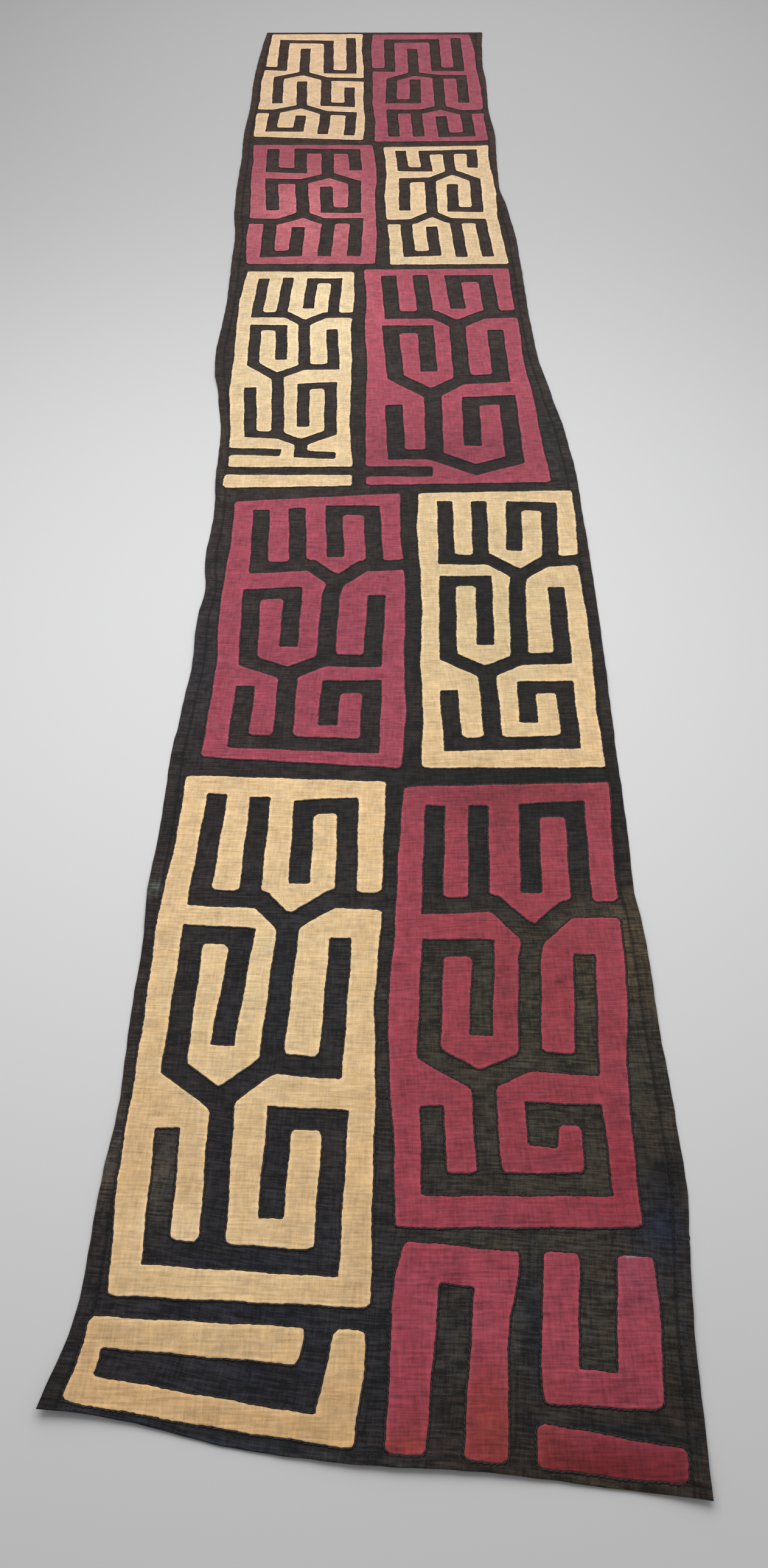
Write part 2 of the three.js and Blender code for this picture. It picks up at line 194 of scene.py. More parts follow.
def make_piece(name: str, points: Array, faces: list[Array], finish: Material) -> Piece:
    """Puts whole arrays into a smooth-shaded mesh object that rides on the part.

    Args:
        name: The piece's name.
        points: Vertices, n by 3.
        faces: Arrays of corner numbers, each with faces of one size.
        finish: The piece's material.

    Returns:
        The linked object.
    """
    mesh = bpy.data.meshes.new(name)
    corners = np.concatenate([block.ravel() for block in faces]).astype(np.int32)
    sizes = np.concatenate([np.full(len(block), block.shape[1]) for block in faces])
    starts = np.concatenate([[0], np.cumsum(sizes)[:-1]]).astype(np.int32)
    mesh.vertices.add(len(points))
    mesh.vertices.foreach_set("co", points.astype(np.float32).ravel())
    mesh.loops.add(len(corners))
    mesh.loops.foreach_set("vertex_index", corners)
    mesh.polygons.add(len(sizes))
    mesh.polygons.foreach_set("loop_start", starts)
    mesh.polygons.foreach_set("use_smooth", np.ones(len(sizes), dtype=bool))
    mesh.update(calc_edges=True)
    mesh.validate()
    mesh.materials.append(finish)
    piece = bpy.data.objects.new(name, mesh)
    bpy.context.scene.collection.objects.link(piece)
    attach(piece, BODY)
    return piece


def add_weave(piece: Piece, weave: Array, dye: Array) -> None:
    """Gives a piece the map that its weave follows and the colour that its dye has at each point, with the
    painted highlight, shade and sheen that the piece carries folded in.

    Args:
        piece: The piece to dress.
        weave: Metres across and along the weave at each vertex, n by 2.
        dye: Linear colour at each vertex, painted light included, n by 3.
    """
    mesh = piece.data
    corners = np.empty(len(mesh.loops), np.int32)
    mesh.loops.foreach_get("vertex_index", corners)
    layer = mesh.uv_layers.new(name=WEAVE_MAP)
    layer.data.foreach_set("uv", weave[corners].astype(np.float32).ravel())
    colours = np.concatenate([dye, np.ones((len(dye), 1))], axis=1)
    attribute = mesh.attributes.new(DYE_AND_LIGHT_LAYER, "FLOAT_COLOR", "POINT")
    attribute.data.foreach_set("color", colours.astype(np.float32).ravel())


def report(sheet: Piece, stitching: Piece) -> None:
    """Logs a finished cloth and its sewing with their numbers of faces."""
    faces = [len(piece.data.polygons) for piece in (sheet, stitching)]
    log.info("%s: %d faces, stitching %d faces", sheet.name, *faces)


@dataclass(frozen=True)
class Wave:
    """A sine over the plan: radians to the metre across and along, its size and where it starts."""

    across: float
    along: float
    size: float = 1.0
    start: float = 0.0

    def at(self, x: Array, y: Array) -> Array:
        """The wave's height at plan points."""
        return self.size * np.sin(self.along * y + self.across * x + self.start)


@dataclass(frozen=True)
class PlanShape:
    """A solid's flat face as cutting lines: closed outlines with the cloth on their left, and their area."""

    outlines: tuple[Array, ...]
    area: float

    @classmethod
    def of_node(cls, node: str, upper: bool) -> "PlanShape":
        """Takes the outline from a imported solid: the sides that only one triangle of its flat face has.

        Args:
            node: The solid's name.
            upper: Whether its top face is taken, or else its underside.

        Returns:
            The face's outlines and area.
        """
        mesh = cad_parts[node].data
        mesh.calc_loop_triangles()
        points = np.empty(len(mesh.vertices) * 3, np.float32)
        mesh.vertices.foreach_get("co", points)
        corners = np.empty(len(mesh.loop_triangles) * 3, np.int32)
        mesh.loop_triangles.foreach_get("vertices", corners)
        rounded = np.round(points.reshape(-1, 3).astype(float), WELD_DIGITS)
        welded, place = np.unique(rounded, axis=0, return_inverse=True)
        triangles = place.ravel()[corners].reshape(-1, 3)
        level = welded[:, 2].max() if upper else welded[:, 2].min()
        triangles = triangles[np.all(np.abs(welded[triangles, 2] - level) < FACE_TOLERANCE, axis=1)]
        triangles = triangles if upper else triangles[:, ::-1]
        plan = welded[:, :2]
        first, second = (plan[triangles[:, i]] - plan[triangles[:, 0]] for i in (1, 2))
        area = 0.5 * np.abs(first[:, 0] * second[:, 1] - first[:, 1] * second[:, 0]).sum()
        starts = triangles.ravel()
        ends = np.roll(triangles, -1, axis=1).ravel()
        rim = ~np.isin(starts * len(plan) + ends, ends * len(plan) + starts)
        used, order = np.unique(starts[rim], return_index=True)
        following = np.searchsorted(used, ends[rim][order])
        return cls(tuple(plan[used[loop]] for loop in ordered_loops(following)), float(area))

    def inset(self, points: Array) -> Array:
        """Distance in from the cutting line: to the nearest point of any side, taken as negative where a
        ray towards high X crosses the sides an even number of times.

        Args:
            points: Plan points, n by 2.

        Returns:
            The distance at each point.
        """
        start = np.concatenate(self.outlines)
        side = np.concatenate([np.roll(line, -1, axis=0) for line in self.outlines]) - start
        reach = points[:, None, :] - start
        share = np.clip((reach * side).sum(-1) / (side * side).sum(-1), 0.0, 1.0)
        distance = np.sqrt(((reach - share[..., None] * side) ** 2).sum(-1).min(axis=1))
        rise = np.where(side[:, 1] == 0.0, 1.0, side[:, 1])
        crossed = (reach[..., 1] < 0.0) != (reach[..., 1] < side[:, 1])
        ahead = reach[..., 0] < reach[..., 1] * side[:, 0] / rise
        return np.where((crossed & ahead).sum(axis=1) % 2 == 1, distance, -distance)


@dataclass(frozen=True)
class DyePatch:
    """A place where the dye took, faded or stained differently, as a soft oval."""

    across: float
    along: float
    wide: float
    long: float
    colour: Colour
    share: float


@dataclass(frozen=True)
class DyeAndSheen:
    """A cloth's colour over the whole textile: three tones from the near end to the far one, and patches.
    The lightening towards the far end is partly the cloth's own colour and partly painted sheen of raffia
    seen at a low angle.
    """

    near: Colour
    middle: Colour
    far: Colour
    patches: tuple[DyePatch, ...] = ()

    def colours(self, across: Array, along: Array) -> Array:
        """Dye at plan points: the three tones blended along the length, then each patch laid over by its
        share times a bell curve of the distance from its middle.

        Args:
            across: X of the points.
            along: Y of the points.

        Returns:
            Linear colours, n by 3.
        """
        places = (CAD_LOW.y, 0.0, CAD_HIGH.y)
        tones = np.array([self.near, self.middle, self.far])
        dye = np.stack([np.interp(along, places, tones[:, channel]) for channel in range(3)], axis=-1)
        for patch in self.patches:
            away = ((across - patch.across) / patch.wide) ** 2 + ((along - patch.along) / patch.long) ** 2
            share = patch.share * np.exp(-away)[:, None]
            dye = dye * (1.0 - share) + np.array(patch.colour) * share
        return dye


def dye_patches(*rows: tuple[float, ...]) -> tuple[DyePatch, ...]:
    """Patches from rows of X, Y, reach across and along, the tone's red, green and blue, and the share."""
    return tuple(DyePatch(*row[:4], tone(*row[4:7]), row[7]) for row in rows)


# The far tones are lighter partly from the cloths' own colour and partly as painted sheen, the brightening
# of raffia seen at a low angle.
DYES_AND_SHEEN: dict[Cloth, DyeAndSheen] = {
    Cloth.BLACK: DyeAndSheen(
        near=tone(45, 37, 33),
        middle=tone(49, 43, 40),
        far=tone(65, 47, 40),
        patches=dye_patches(
            (0.17, -1.62, 0.17, 0.28, 56, 52, 45, 0.85),
            (0.17, -1.76, 0.17, 0.04, 58, 55, 50, 0.5),
            (0.19, -1.38, 0.18, 0.13, 56, 53, 43, 0.8),
            (0.19, -1.19, 0.22, 0.06, 32, 31, 32, 0.8),
            (0.19, -1.05, 0.22, 0.10, 26, 26, 26, 0.95),
            (0.29, -1.30, 0.05, 0.08, 75, 64, 49, 0.8),
            (0.295, -1.48, 0.035, 0.05, 55, 52, 47, 0.6),
            (0.30, -1.595, 0.03, 0.025, 19, 18, 18, 0.8),
            (0.285, -1.66, 0.03, 0.045, 29, 35, 49, 0.85),
            (0.31, -1.78, 0.03, 0.08, 36, 37, 40, 0.7),
            (0.152, -1.76, 0.014, 0.07, 26, 31, 40, 0.85),
            (0.215, -1.855, 0.07, 0.012, 20, 26, 32, 0.85),
            (0.20, -1.896, 0.10, 0.010, 53, 46, 36, 0.6),
            (0.012, -1.83, 0.02, 0.05, 24, 23, 22, 0.7),
            (-0.12, -1.75, 0.18, 0.20, 35, 38, 46, 0.8),
            (-0.25, -1.848, 0.07, 0.014, 34, 42, 52, 0.7),
            (-0.13, -1.872, 0.07, 0.014, 39, 45, 53, 0.7),
            (-0.04, -1.885, 0.05, 0.014, 53, 52, 49, 0.7),
            (-0.12, -1.35, 0.14, 0.25, 31, 34, 39, 0.7),
            (-0.2215, -1.605, 0.016, 0.045, 77, 71, 61, 0.65),
            (-0.278, -1.58, 0.014, 0.07, 77, 69, 61, 0.6),
            (-0.272, -1.214, 0.014, 0.010, 92, 97, 87, 0.7),
            (-0.13, -1.06, 0.18, 0.08, 32, 30, 31, 0.8),
            (-0.13, -0.75, 0.19, 0.30, 42, 36, 36, 0.85),
            (-0.26, -0.80, 0.03, 0.20, 43, 40, 46, 0.6),
            (0.17, -0.70, 0.21, 0.38, 26, 26, 25, 0.9),
            (0.13, -0.22, 0.20, 0.13, 38, 29, 31, 0.8),
            (0.30, -0.25, 0.04, 0.20, 43, 46, 42, 0.4),
        ),
    ),
    Cloth.CREAM: DyeAndSheen(
        near=tone(199, 159, 112),
        middle=tone(210, 184, 144),
        far=tone(246, 207, 166),
        patches=dye_patches(
            (-0.13, -1.35, 0.16, 0.30, 210, 185, 142, 0.7),
            (-0.13, -1.71, 0.17, 0.09, 213, 182, 137, 0.8),
            (-0.20, -1.66, 0.05, 0.03, 217, 190, 154, 0.6),
            (0.17, -0.68, 0.15, 0.30, 189, 167, 127, 0.8),
            (-0.12, 0.30, 0.15, 0.30, 240, 215, 171, 0.8),
            (0.13, 0.80, 0.13, 0.25, 243, 211, 165, 0.7),
        ),
    ),
    Cloth.CRIMSON: DyeAndSheen(
        near=tone(144, 61, 73),
        middle=tone(155, 71, 85),
        far=tone(165, 82, 98),
        patches=dye_patches(
            (0.17, -1.35, 0.16, 0.30, 128, 53, 59, 0.8),
            (0.16, -1.06, 0.16, 0.07, 118, 49, 55, 0.9),
            (0.15, -1.745, 0.17, 0.05, 151, 67, 79, 0.8),
            (0.25, -1.60, 0.05, 0.06, 128, 42, 52, 0.6),
            (0.252, -1.71, 0.02, 0.03, 140, 72, 92, 0.5),
            (0.20, -1.89, 0.14, 0.035, 100, 31, 33, 0.9),
            (0.11, -1.85, 0.05, 0.05, 135, 58, 50, 0.8),
            (0.025, -1.868, 0.035, 0.02, 135, 60, 48, 0.6),
            (0.253, -1.6835, 0.007, 0.0035, 215, 190, 195, 0.9),
            (-0.09, -0.72, 0.24, 0.36, 130, 58, 72, 0.8),
            (0.13, -0.24, 0.20, 0.12, 126, 57, 69, 0.8),
            (0.13, 0.36, 0.16, 0.14, 167, 81, 94, 0.8),
            (-0.15, 0.72, 0.15, 0.24, 212, 120, 126, 0.8),
            (-0.005, 0.30, 0.05, 0.20, 190, 92, 106, 0.6),
        ),
    ),
}


@dataclass(frozen=True)
class NodeDesk:
    """Lays out a material's nodes: each call adds a node with its settings, and gives its output."""

    material: Material

    @classmethod
    def fresh(cls, name: str) -> "NodeDesk":
        """Starts a material with no nodes.

        Args:
            name: The material's name.

        Returns:
            The desk for its nodes.
        """
        made = bpy.data.materials.new(name)
        made.use_nodes = True
        made.node_tree.nodes.clear()
        return cls(made)

    def add(
        self, kind: str, output: str | int = 0, settings: dict[str, str] | None = None, **inputs: object
    ) -> Socket | None:
        """Adds a node.

        Args:
            kind: The node's type.
            output: The output to give back.
            settings: Attributes of the node itself.
            inputs: Values or sockets by input name, or by number after the letter i.

        Returns:
            The chosen output socket, or nothing where the node has none.
        """
        node = self.material.node_tree.nodes.new(kind)
        for name, value in (settings or {}).items():
            setattr(node, name, value)
        for name, value in inputs.items():
            numbered = name[0] == "i" and name[1:].isdigit()
            socket = node.inputs[int(name[1:]) if numbered else name]
            if isinstance(value, Socket):
                self.material.node_tree.links.new(value, socket)
            else:
                socket.default_value = value
        return node.outputs[output] if node.outputs else None

    def sum(self, operation: str, first: object, second: object = 0.0) -> Socket:
        """A Math node on two values or sockets."""
        return self.add("ShaderNodeMath", settings={"operation": operation}, i0=first, i1=second)

    def vector(self, operation: str, first: object, second: object) -> Socket:
        """A Vector Math node on two vectors, colours or sockets."""
        return self.add("ShaderNodeVectorMath", settings={"operation": operation}, i0=first, i1=second)

    def between(self, share: object, first: object, second: object) -> Socket:
        """A Mix node: the first value where share is 0, the second where it is 1."""
        return self.add("ShaderNodeMix", i0=share, i2=first, i3=second)


@dataclass(frozen=True)
class RaffiaFinish:
    """Woven raffia: flat fibres over and under each other, uneven in tone from fibre to fibre, in thin
    streaks both ways of the weave, and in clouds of tone and of warmer and cooler hue."""

    cloth: Cloth
    fibre: float
    fibre_contrast: float
    weft_contrast: float
    warp_contrast: float
    cloud_contrast: float
    warm_contrast: Colour
    shade_contrast: float
    roughness: float
    sheen: float
    weft_scale: Colour = (35.0, 380.0, 1.0)
    warp_scale: Colour = (330.0, 45.0, 1.0)
    cloud_scale: float = 34.0
    least_level: float = 0.35
    fibre_jump: float = 13.7
    fibre_drift: float = 9.0
    streak_detail: float = 1.5
    streak_roughness: float = 0.6
    cloud_detail: float = 5.0
    cloud_roughness: float = 0.88
    waver_scale: float = 38.0
    waver_detail: float = 2.0
    waver_reach: float = 1.6 * MM
    bump_strength: float = 0.55
    bump_depth: float = 0.35
    sheen_roughness: float = 0.6
    specular: float = 0.15

    def ridges(self, desk: NodeDesk, place: Socket) -> tuple[Socket, ...]:
        """One set of fibres: the sine of the place over the fibre's width, its size as the fibre's round
        back, and the fibre's number.

        Args:
            desk: Where the nodes go.
            place: Metres across the fibres.

        Returns:
            The sine, the round back from 0 to 1 and the fibre's number.
        """
        sine = desk.sum("SINE", desk.sum("MULTIPLY", place, math.pi / self.fibre))
        number = desk.sum("FLOOR", desk.sum("DIVIDE", place, self.fibre))
        return sine, desk.sum("ABSOLUTE", sine), number

    def fibre_tone(self, desk: NodeDesk, along: Socket, number: Socket) -> Socket:
        """Tone of each fibre: noise that jumps from fibre to fibre and drifts along it.

        Args:
            desk: Where the nodes go.
            along: Metres along the fibres.
            number: The fibre's number.

        Returns:
            The tone, about a half.
        """
        drift = desk.sum("MULTIPLY", along, self.fibre_drift)
        jump = desk.sum("MULTIPLY", number, self.fibre_jump)
        spot = desk.add("ShaderNodeCombineXYZ", X=drift, Y=jump)
        return desk.add("ShaderNodeTexNoise", "Fac", Vector=spot, Scale=1.0, Detail=1.0)

    def streaks(self, desk: NodeDesk, spot: Socket, scale: Colour) -> Socket:
        """Tone in thin streaks: fractal noise, stretched differently across and along the weave.

        Args:
            desk: Where the nodes go.
            spot: Place on the weave.
            scale: Streaks to the metre across and along.

        Returns:
            The tone, about a half.
        """
        drawn = desk.add("ShaderNodeMapping", Vector=spot, Scale=scale)
        grain = {"Scale": 1.0, "Detail": self.streak_detail, "Roughness": self.streak_roughness}
        return desk.add("ShaderNodeTexNoise", "Fac", Vector=drawn, **grain)

    def level(self, desk: NodeDesk, spot: Socket, tones: tuple[tuple[Socket, float, float], ...]) -> Socket:
        """How much of the dye each channel shows: one, plus every tone's distance from its middle times its
        contrast, plus one cloudy noise times the cloud contrast and another times the warm contrast of the
        channel, and never below the least level.

        Args:
            desk: Where the nodes go.
            spot: Place on the weave.
            tones: Each tone with its contrast and its middle.

        Returns:
            A factor for red, green and blue.
        """
        grain = {"Scale": self.cloud_scale, "Detail": self.cloud_detail, "Roughness": self.cloud_roughness}
        clouds = desk.add("ShaderNodeTexNoise", "Color", Vector=spot, **grain)
        warm, cloud, _ = desk.add("ShaderNodeSeparateXYZ", Vector=clouds).node.outputs
        total: object = 1.0
        for value, contrast, middle in (*tones, (cloud, self.cloud_contrast, NOISE_MIDDLE)):
            part = desk.sum("MULTIPLY", desk.sum("SUBTRACT", value, middle), contrast)
            total = desk.sum("ADD", part, total)
        hue = desk.vector("MULTIPLY", desk.sum("SUBTRACT", warm, NOISE_MIDDLE), self.warm_contrast)
        return desk.vector("MAXIMUM", desk.vector("ADD", hue, total), (self.least_level,) * 3)

    def material(self) -> Material:
        """Builds the finish: the piece's dye times the level of fibre, streak, weave-shade and hue at each
        place, with the fibres' backs as bump.

        Returns:
            The material.
        """
        desk = NodeDesk.fresh(self.cloth.value)
        weave = desk.add("ShaderNodeUVMap", settings={"uv_map": WEAVE_MAP})
        grain = {"Scale": self.waver_scale, "Detail": self.waver_detail}
        waver = desk.add("ShaderNodeTexNoise", "Color", Vector=weave, **grain)
        scaled = {"operation": "SCALE"}
        stray = desk.add("ShaderNodeVectorMath", settings=scaled, Vector=waver, Scale=self.waver_reach)
        spot = desk.vector("ADD", weave, stray)
        parts = desk.add("ShaderNodeSeparateXYZ", Vector=spot).node.outputs
        warp_sine, warp_back, warp_number = self.ridges(desk, parts[0])
        weft_sine, weft_back, weft_number = self.ridges(desk, parts[1])
        weft_over = desk.sum("GREATER_THAN", desk.sum("MULTIPLY", warp_sine, weft_sine), 0.0)
        back = desk.between(weft_over, warp_back, weft_back)
        warp_tone = self.fibre_tone(desk, parts[1], warp_number)
        weft_tone = self.fibre_tone(desk, parts[0], weft_number)
        tones = (
            (desk.between(weft_over, warp_tone, weft_tone), self.fibre_contrast, NOISE_MIDDLE),
            (self.streaks(desk, spot, self.weft_scale), self.weft_contrast, NOISE_MIDDLE),
            (self.streaks(desk, spot, self.warp_scale), self.warp_contrast, NOISE_MIDDLE),
            (back, self.shade_contrast, 2.0 / math.pi),
        )
        dye = desk.add("ShaderNodeAttribute", "Color", settings={"attribute_name": DYE_AND_LIGHT_LAYER})
        colour = desk.vector("MULTIPLY", dye, self.level(desk, spot, tones))
        depth = self.bump_depth * self.fibre
        bump = desk.add("ShaderNodeBump", Height=back, Strength=self.bump_strength, Distance=depth)
        shader = desk.add(
            "ShaderNodeBsdfPrincipled",
            Normal=bump,
            **{
                "Base Color": colour,
                "Roughness": self.roughness,
                "Sheen Weight": self.sheen,
                "Sheen Roughness": self.sheen_roughness,
                "Specular IOR Level": self.specular,
            },
        )
        desk.add("ShaderNodeOutputMaterial", Surface=shader)
        return desk.material


@dataclass(frozen=True)
class ThreadFinish:
    """Dark raffia sewing thread: brown-black, a little lighter from stitch to stitch, with a dull gloss."""

    name: str = "dark_thread"
    dark: Colour = tone(14, 11, 11)
    light: Colour = tone(34, 27, 24)
    roughness: float = 0.7
    noise_scale: float = 140.0
    noise_detail: float = 2.0
    all_dark: float = 0.4
    all_light: float = 0.75
    bump_strength: float = 0.3
    bump_depth: float = 0.2 * MM

    def material(self) -> Material:
        """Builds the finish: noise on the object's own coordinates chooses between the two tones.

        Returns:
            The material.
        """
        desk = NodeDesk.fresh(self.name)
        place = desk.add("ShaderNodeTexCoord", "Object")
        grain = {"Scale": self.noise_scale, "Detail": self.noise_detail}
        noise = desk.add("ShaderNodeTexNoise", "Fac", Vector=place, **grain)
        ramp = desk.add("ShaderNodeValToRGB", Fac=noise)
        stops = ((self.all_dark, self.dark), (self.all_light, self.light))
        for element, (position, colour) in zip(ramp.node.color_ramp.elements, stops):
            element.position = position
            element.color = (*colour, 1.0)
        relief = {"Strength": self.bump_strength, "Distance": self.bump_depth}
        bump = desk.add("ShaderNodeBump", Height=noise, **relief)
        surface = {"Base Color": ramp, "Roughness": self.roughness}
        shader = desk.add("ShaderNodeBsdfPrincipled", Normal=bump, **surface)
        desk.add("ShaderNodeOutputMaterial", Surface=shader)
        return desk.material


@dataclass(frozen=True)
class Finishes:
    """Every material of the cloth, made once."""

    cloths: dict[Cloth, Material]
    thread: Material

    @classmethod
    def make(cls) -> "Finishes":
        """Builds the three raffias and the thread.

        Returns:
            The finished set.
        """
        black = RaffiaFinish(
            Cloth.BLACK, fibre=1.4 * MM, fibre_contrast=1.8, weft_contrast=3.8, warp_contrast=1.6,
            cloud_contrast=4.2, warm_contrast=(0.7, 0.1, -0.9),
            shade_contrast=0.5, roughness=0.82, sheen=0.04,
        )
        cream = RaffiaFinish(
            Cloth.CREAM, fibre=1.2 * MM, fibre_contrast=0.45, weft_contrast=0.8, warp_contrast=0.45,
            cloud_contrast=1.0, warm_contrast=(0.2, -0.05, -0.6),
            shade_contrast=0.22, roughness=0.78, sheen=0.05,
        )
        crimson = RaffiaFinish(
            Cloth.CRIMSON, fibre=1.2 * MM, fibre_contrast=0.65, weft_contrast=1.2, warp_contrast=0.65,
            cloud_contrast=1.5, warm_contrast=(0.3, -0.5, -0.6),
            shade_contrast=0.3, roughness=0.78, sheen=0.05,
        )
        cloths = {finish.cloth: finish.material() for finish in (black, cream, crimson)}
        return cls(cloths, ThreadFinish().material())


@dataclass(frozen=True)
class Crease:
    """A soft ridge across the cloth where it was once folded."""

    along: float
    skew: float
    width: float
    rise: float


@dataclass(frozen=True)
class CornerCurl:
    """A corner that stands off the floor."""

    across: float
    along: float
    reach: float
    rise: float


@dataclass(frozen=True)
class ClothLie:
    """How the cloth lies on the floor: low swells, soft creases, rippled edges and raised near corners."""

    left: Array
    right: Array
    near: Array
    hem_width: float = 15 * MM
    near_hem_width: float = 9 * MM
    hem_slope: float = 2.5 * MM
    hem_thickness: float = 2.2 * MM
    hem_crown: float = 0.08
    # Painted shade: hem_line and hem_shade set the width and depth of the darker band at each hem's foot.
    hem_line: float = 1.8 * MM
    hem_shade: float = 0.65
    swell: float = 1.0 * MM
    swell_waves: tuple[Wave, Wave] = (Wave(2.3, 6.9, 0.5, 0.4), Wave(5.3, -2.1, 0.5, 1.2))
    flutter: float = 2.0 * MM
    flutter_reach: float = 28 * MM
    flutter_rate: float = 15.1
    flutter_stray: float = 0.9
    stray_rate: float = 4.7
    flutter_starts: tuple[float, float] = (0.7, 2.4)
    near_rise: float = 5.5 * MM
    near_wave: Wave = Wave(17.0, 0.0, 0.4, 0.8)
    creases: tuple[Crease, ...] = (
        Crease(-1.262, 0.02, 11 * MM, 1.1 * MM),
        Crease(-0.63, -0.015, 14 * MM, 0.6 * MM),
        Crease(0.035, 0.02, 12 * MM, 0.7 * MM),
        Crease(0.66, -0.01, 14 * MM, 0.6 * MM),
        Crease(1.29, 0.015, 12 * MM, 0.7 * MM),
    )
    curls: tuple[CornerCurl, ...] = (
        CornerCurl(-0.307, -1.835, 55 * MM, 3.0 * MM),
        CornerCurl(0.296, -1.913, 40 * MM, 4.0 * MM),
    )

    def insets(self, across: Array, along: Array) -> tuple[Array, Array, Array]:
        """Distances in from the cloth's left, right and near edges, taken straight across or along.

        Args:
            across: X of the plan points.
            along: Y of the plan points.

        Returns:
            The three distances.
        """
        from_left = across - np.interp(along, self.left[:, 1], self.left[:, 0])
        from_right = np.interp(along, self.right[:, 1], self.right[:, 0]) - across
        from_near = along - np.interp(across, self.near[:, 0], self.near[:, 1])
        return from_left, from_right, from_near

    def height(self, across: Array, along: Array) -> Array:
        """Height of the cloth's underside: the product of two crossed waves as swells, a bell curve for each
        crease and curl, and edge lifts that die away inwards, rippled along the edges.

        Args:
            across: X of the plan points.
            along: Y of the plan points.

        Returns:
            Heights above the floor, never below it.
        """
        rise = self.swell
        for wave in self.swell_waves:
            rise = rise * (1.0 - wave.size + wave.at(across, along))
        for crease in self.creases:
            off = (along - crease.along - crease.skew * across) / crease.width
            rise = rise + crease.rise * np.exp(-off * off)
        for curl in self.curls:
            away = np.hypot(across - curl.across, along - curl.along) / curl.reach
            rise = rise + curl.rise * np.exp(-away * away)
        *sides, from_near = self.insets(across, along)
        for inset, start in zip(sides, self.flutter_starts):
            stray = self.flutter_stray * np.sin(self.stray_rate * along + start)
            ripple = 0.5 + 0.5 * np.sin(self.flutter_rate * along + start + stray)
            rise = rise + self.flutter * ripple**2 * np.exp(-np.maximum(inset, 0.0) / self.flutter_reach)
        ripple = 1.0 - self.near_wave.size + self.near_wave.at(across, along)
        return rise + self.near_rise * ripple * np.exp(-np.maximum(from_near, 0.0) / self.flutter_reach)

    def hem(self, inset: Array, width: float) -> Array:
        """Thickness at a distance from a turned-over edge: the hem's, gently crowned, down a soft step to
        the plain cloth.

        Args:
            inset: Distances from the edge.
            width: Width of the hem.

        Returns:
            The thicknesses.
        """
        crown = 1.0 + self.hem_crown * np.sin(np.pi * np.clip(inset / width, 0.0, 1.0))
        drop = soft_step(width, width + self.hem_slope, inset)
        return self.hem_thickness * crown * (1.0 - drop) + GROUND_THICKNESS * drop

    def painted_hem_shade(self, inset: Array, width: float) -> Array:
        """Share of the dye's lightness left near a hem: less in a narrow bell curve along its slope, a
        painted shade at the hem's step together with the darker line of its sewing.

        Args:
            inset: Distances from the edge.
            width: Width of the hem.

        Returns:
            The shares, at most 1.
        """
        off = (inset - width - 0.5 * self.hem_slope) / self.hem_line
        return 1.0 - self.hem_shade * np.exp(-off * off)

    def top(self, across: Array, along: Array) -> Array:
        """Height of the ground's face: the underside's, and the thickness with its side and near hems.

        Args:
            across: X of the plan points.
            along: Y of the plan points.

        Returns:
            Heights above the floor.
        """
        from_left, from_right, from_near = self.insets(across, along)
        side = self.hem(np.minimum(from_left, from_right), self.hem_width)
        return self.height(across, along) + np.maximum(side, self.hem(from_near, self.near_hem_width))


@dataclass(frozen=True)
class StitchCut:
    """One kind of stitch: its size, how often it comes and how far it leans from the line of sewing."""

    length: float
    width: float
    height: float
    pitch: float
    lean: float


# The edge stitches are wide so that their dark band also stands in for the shade along each panel's edge:
# partly real stitching, partly painted shade.
EDGE_STITCH_AND_SHADE = StitchCut(length=7.6 * MM, width=3.0 * MM, height=0.9 * MM, pitch=5.6 * MM, lean=0.14)
HEM_STITCH = StitchCut(length=6.5 * MM, width=1.5 * MM, height=0.9 * MM, pitch=7.5 * MM, lean=0.05)
JOIN_STITCH = StitchCut(length=5.5 * MM, width=1.1 * MM, height=0.7 * MM, pitch=6.5 * MM, lean=1.25)


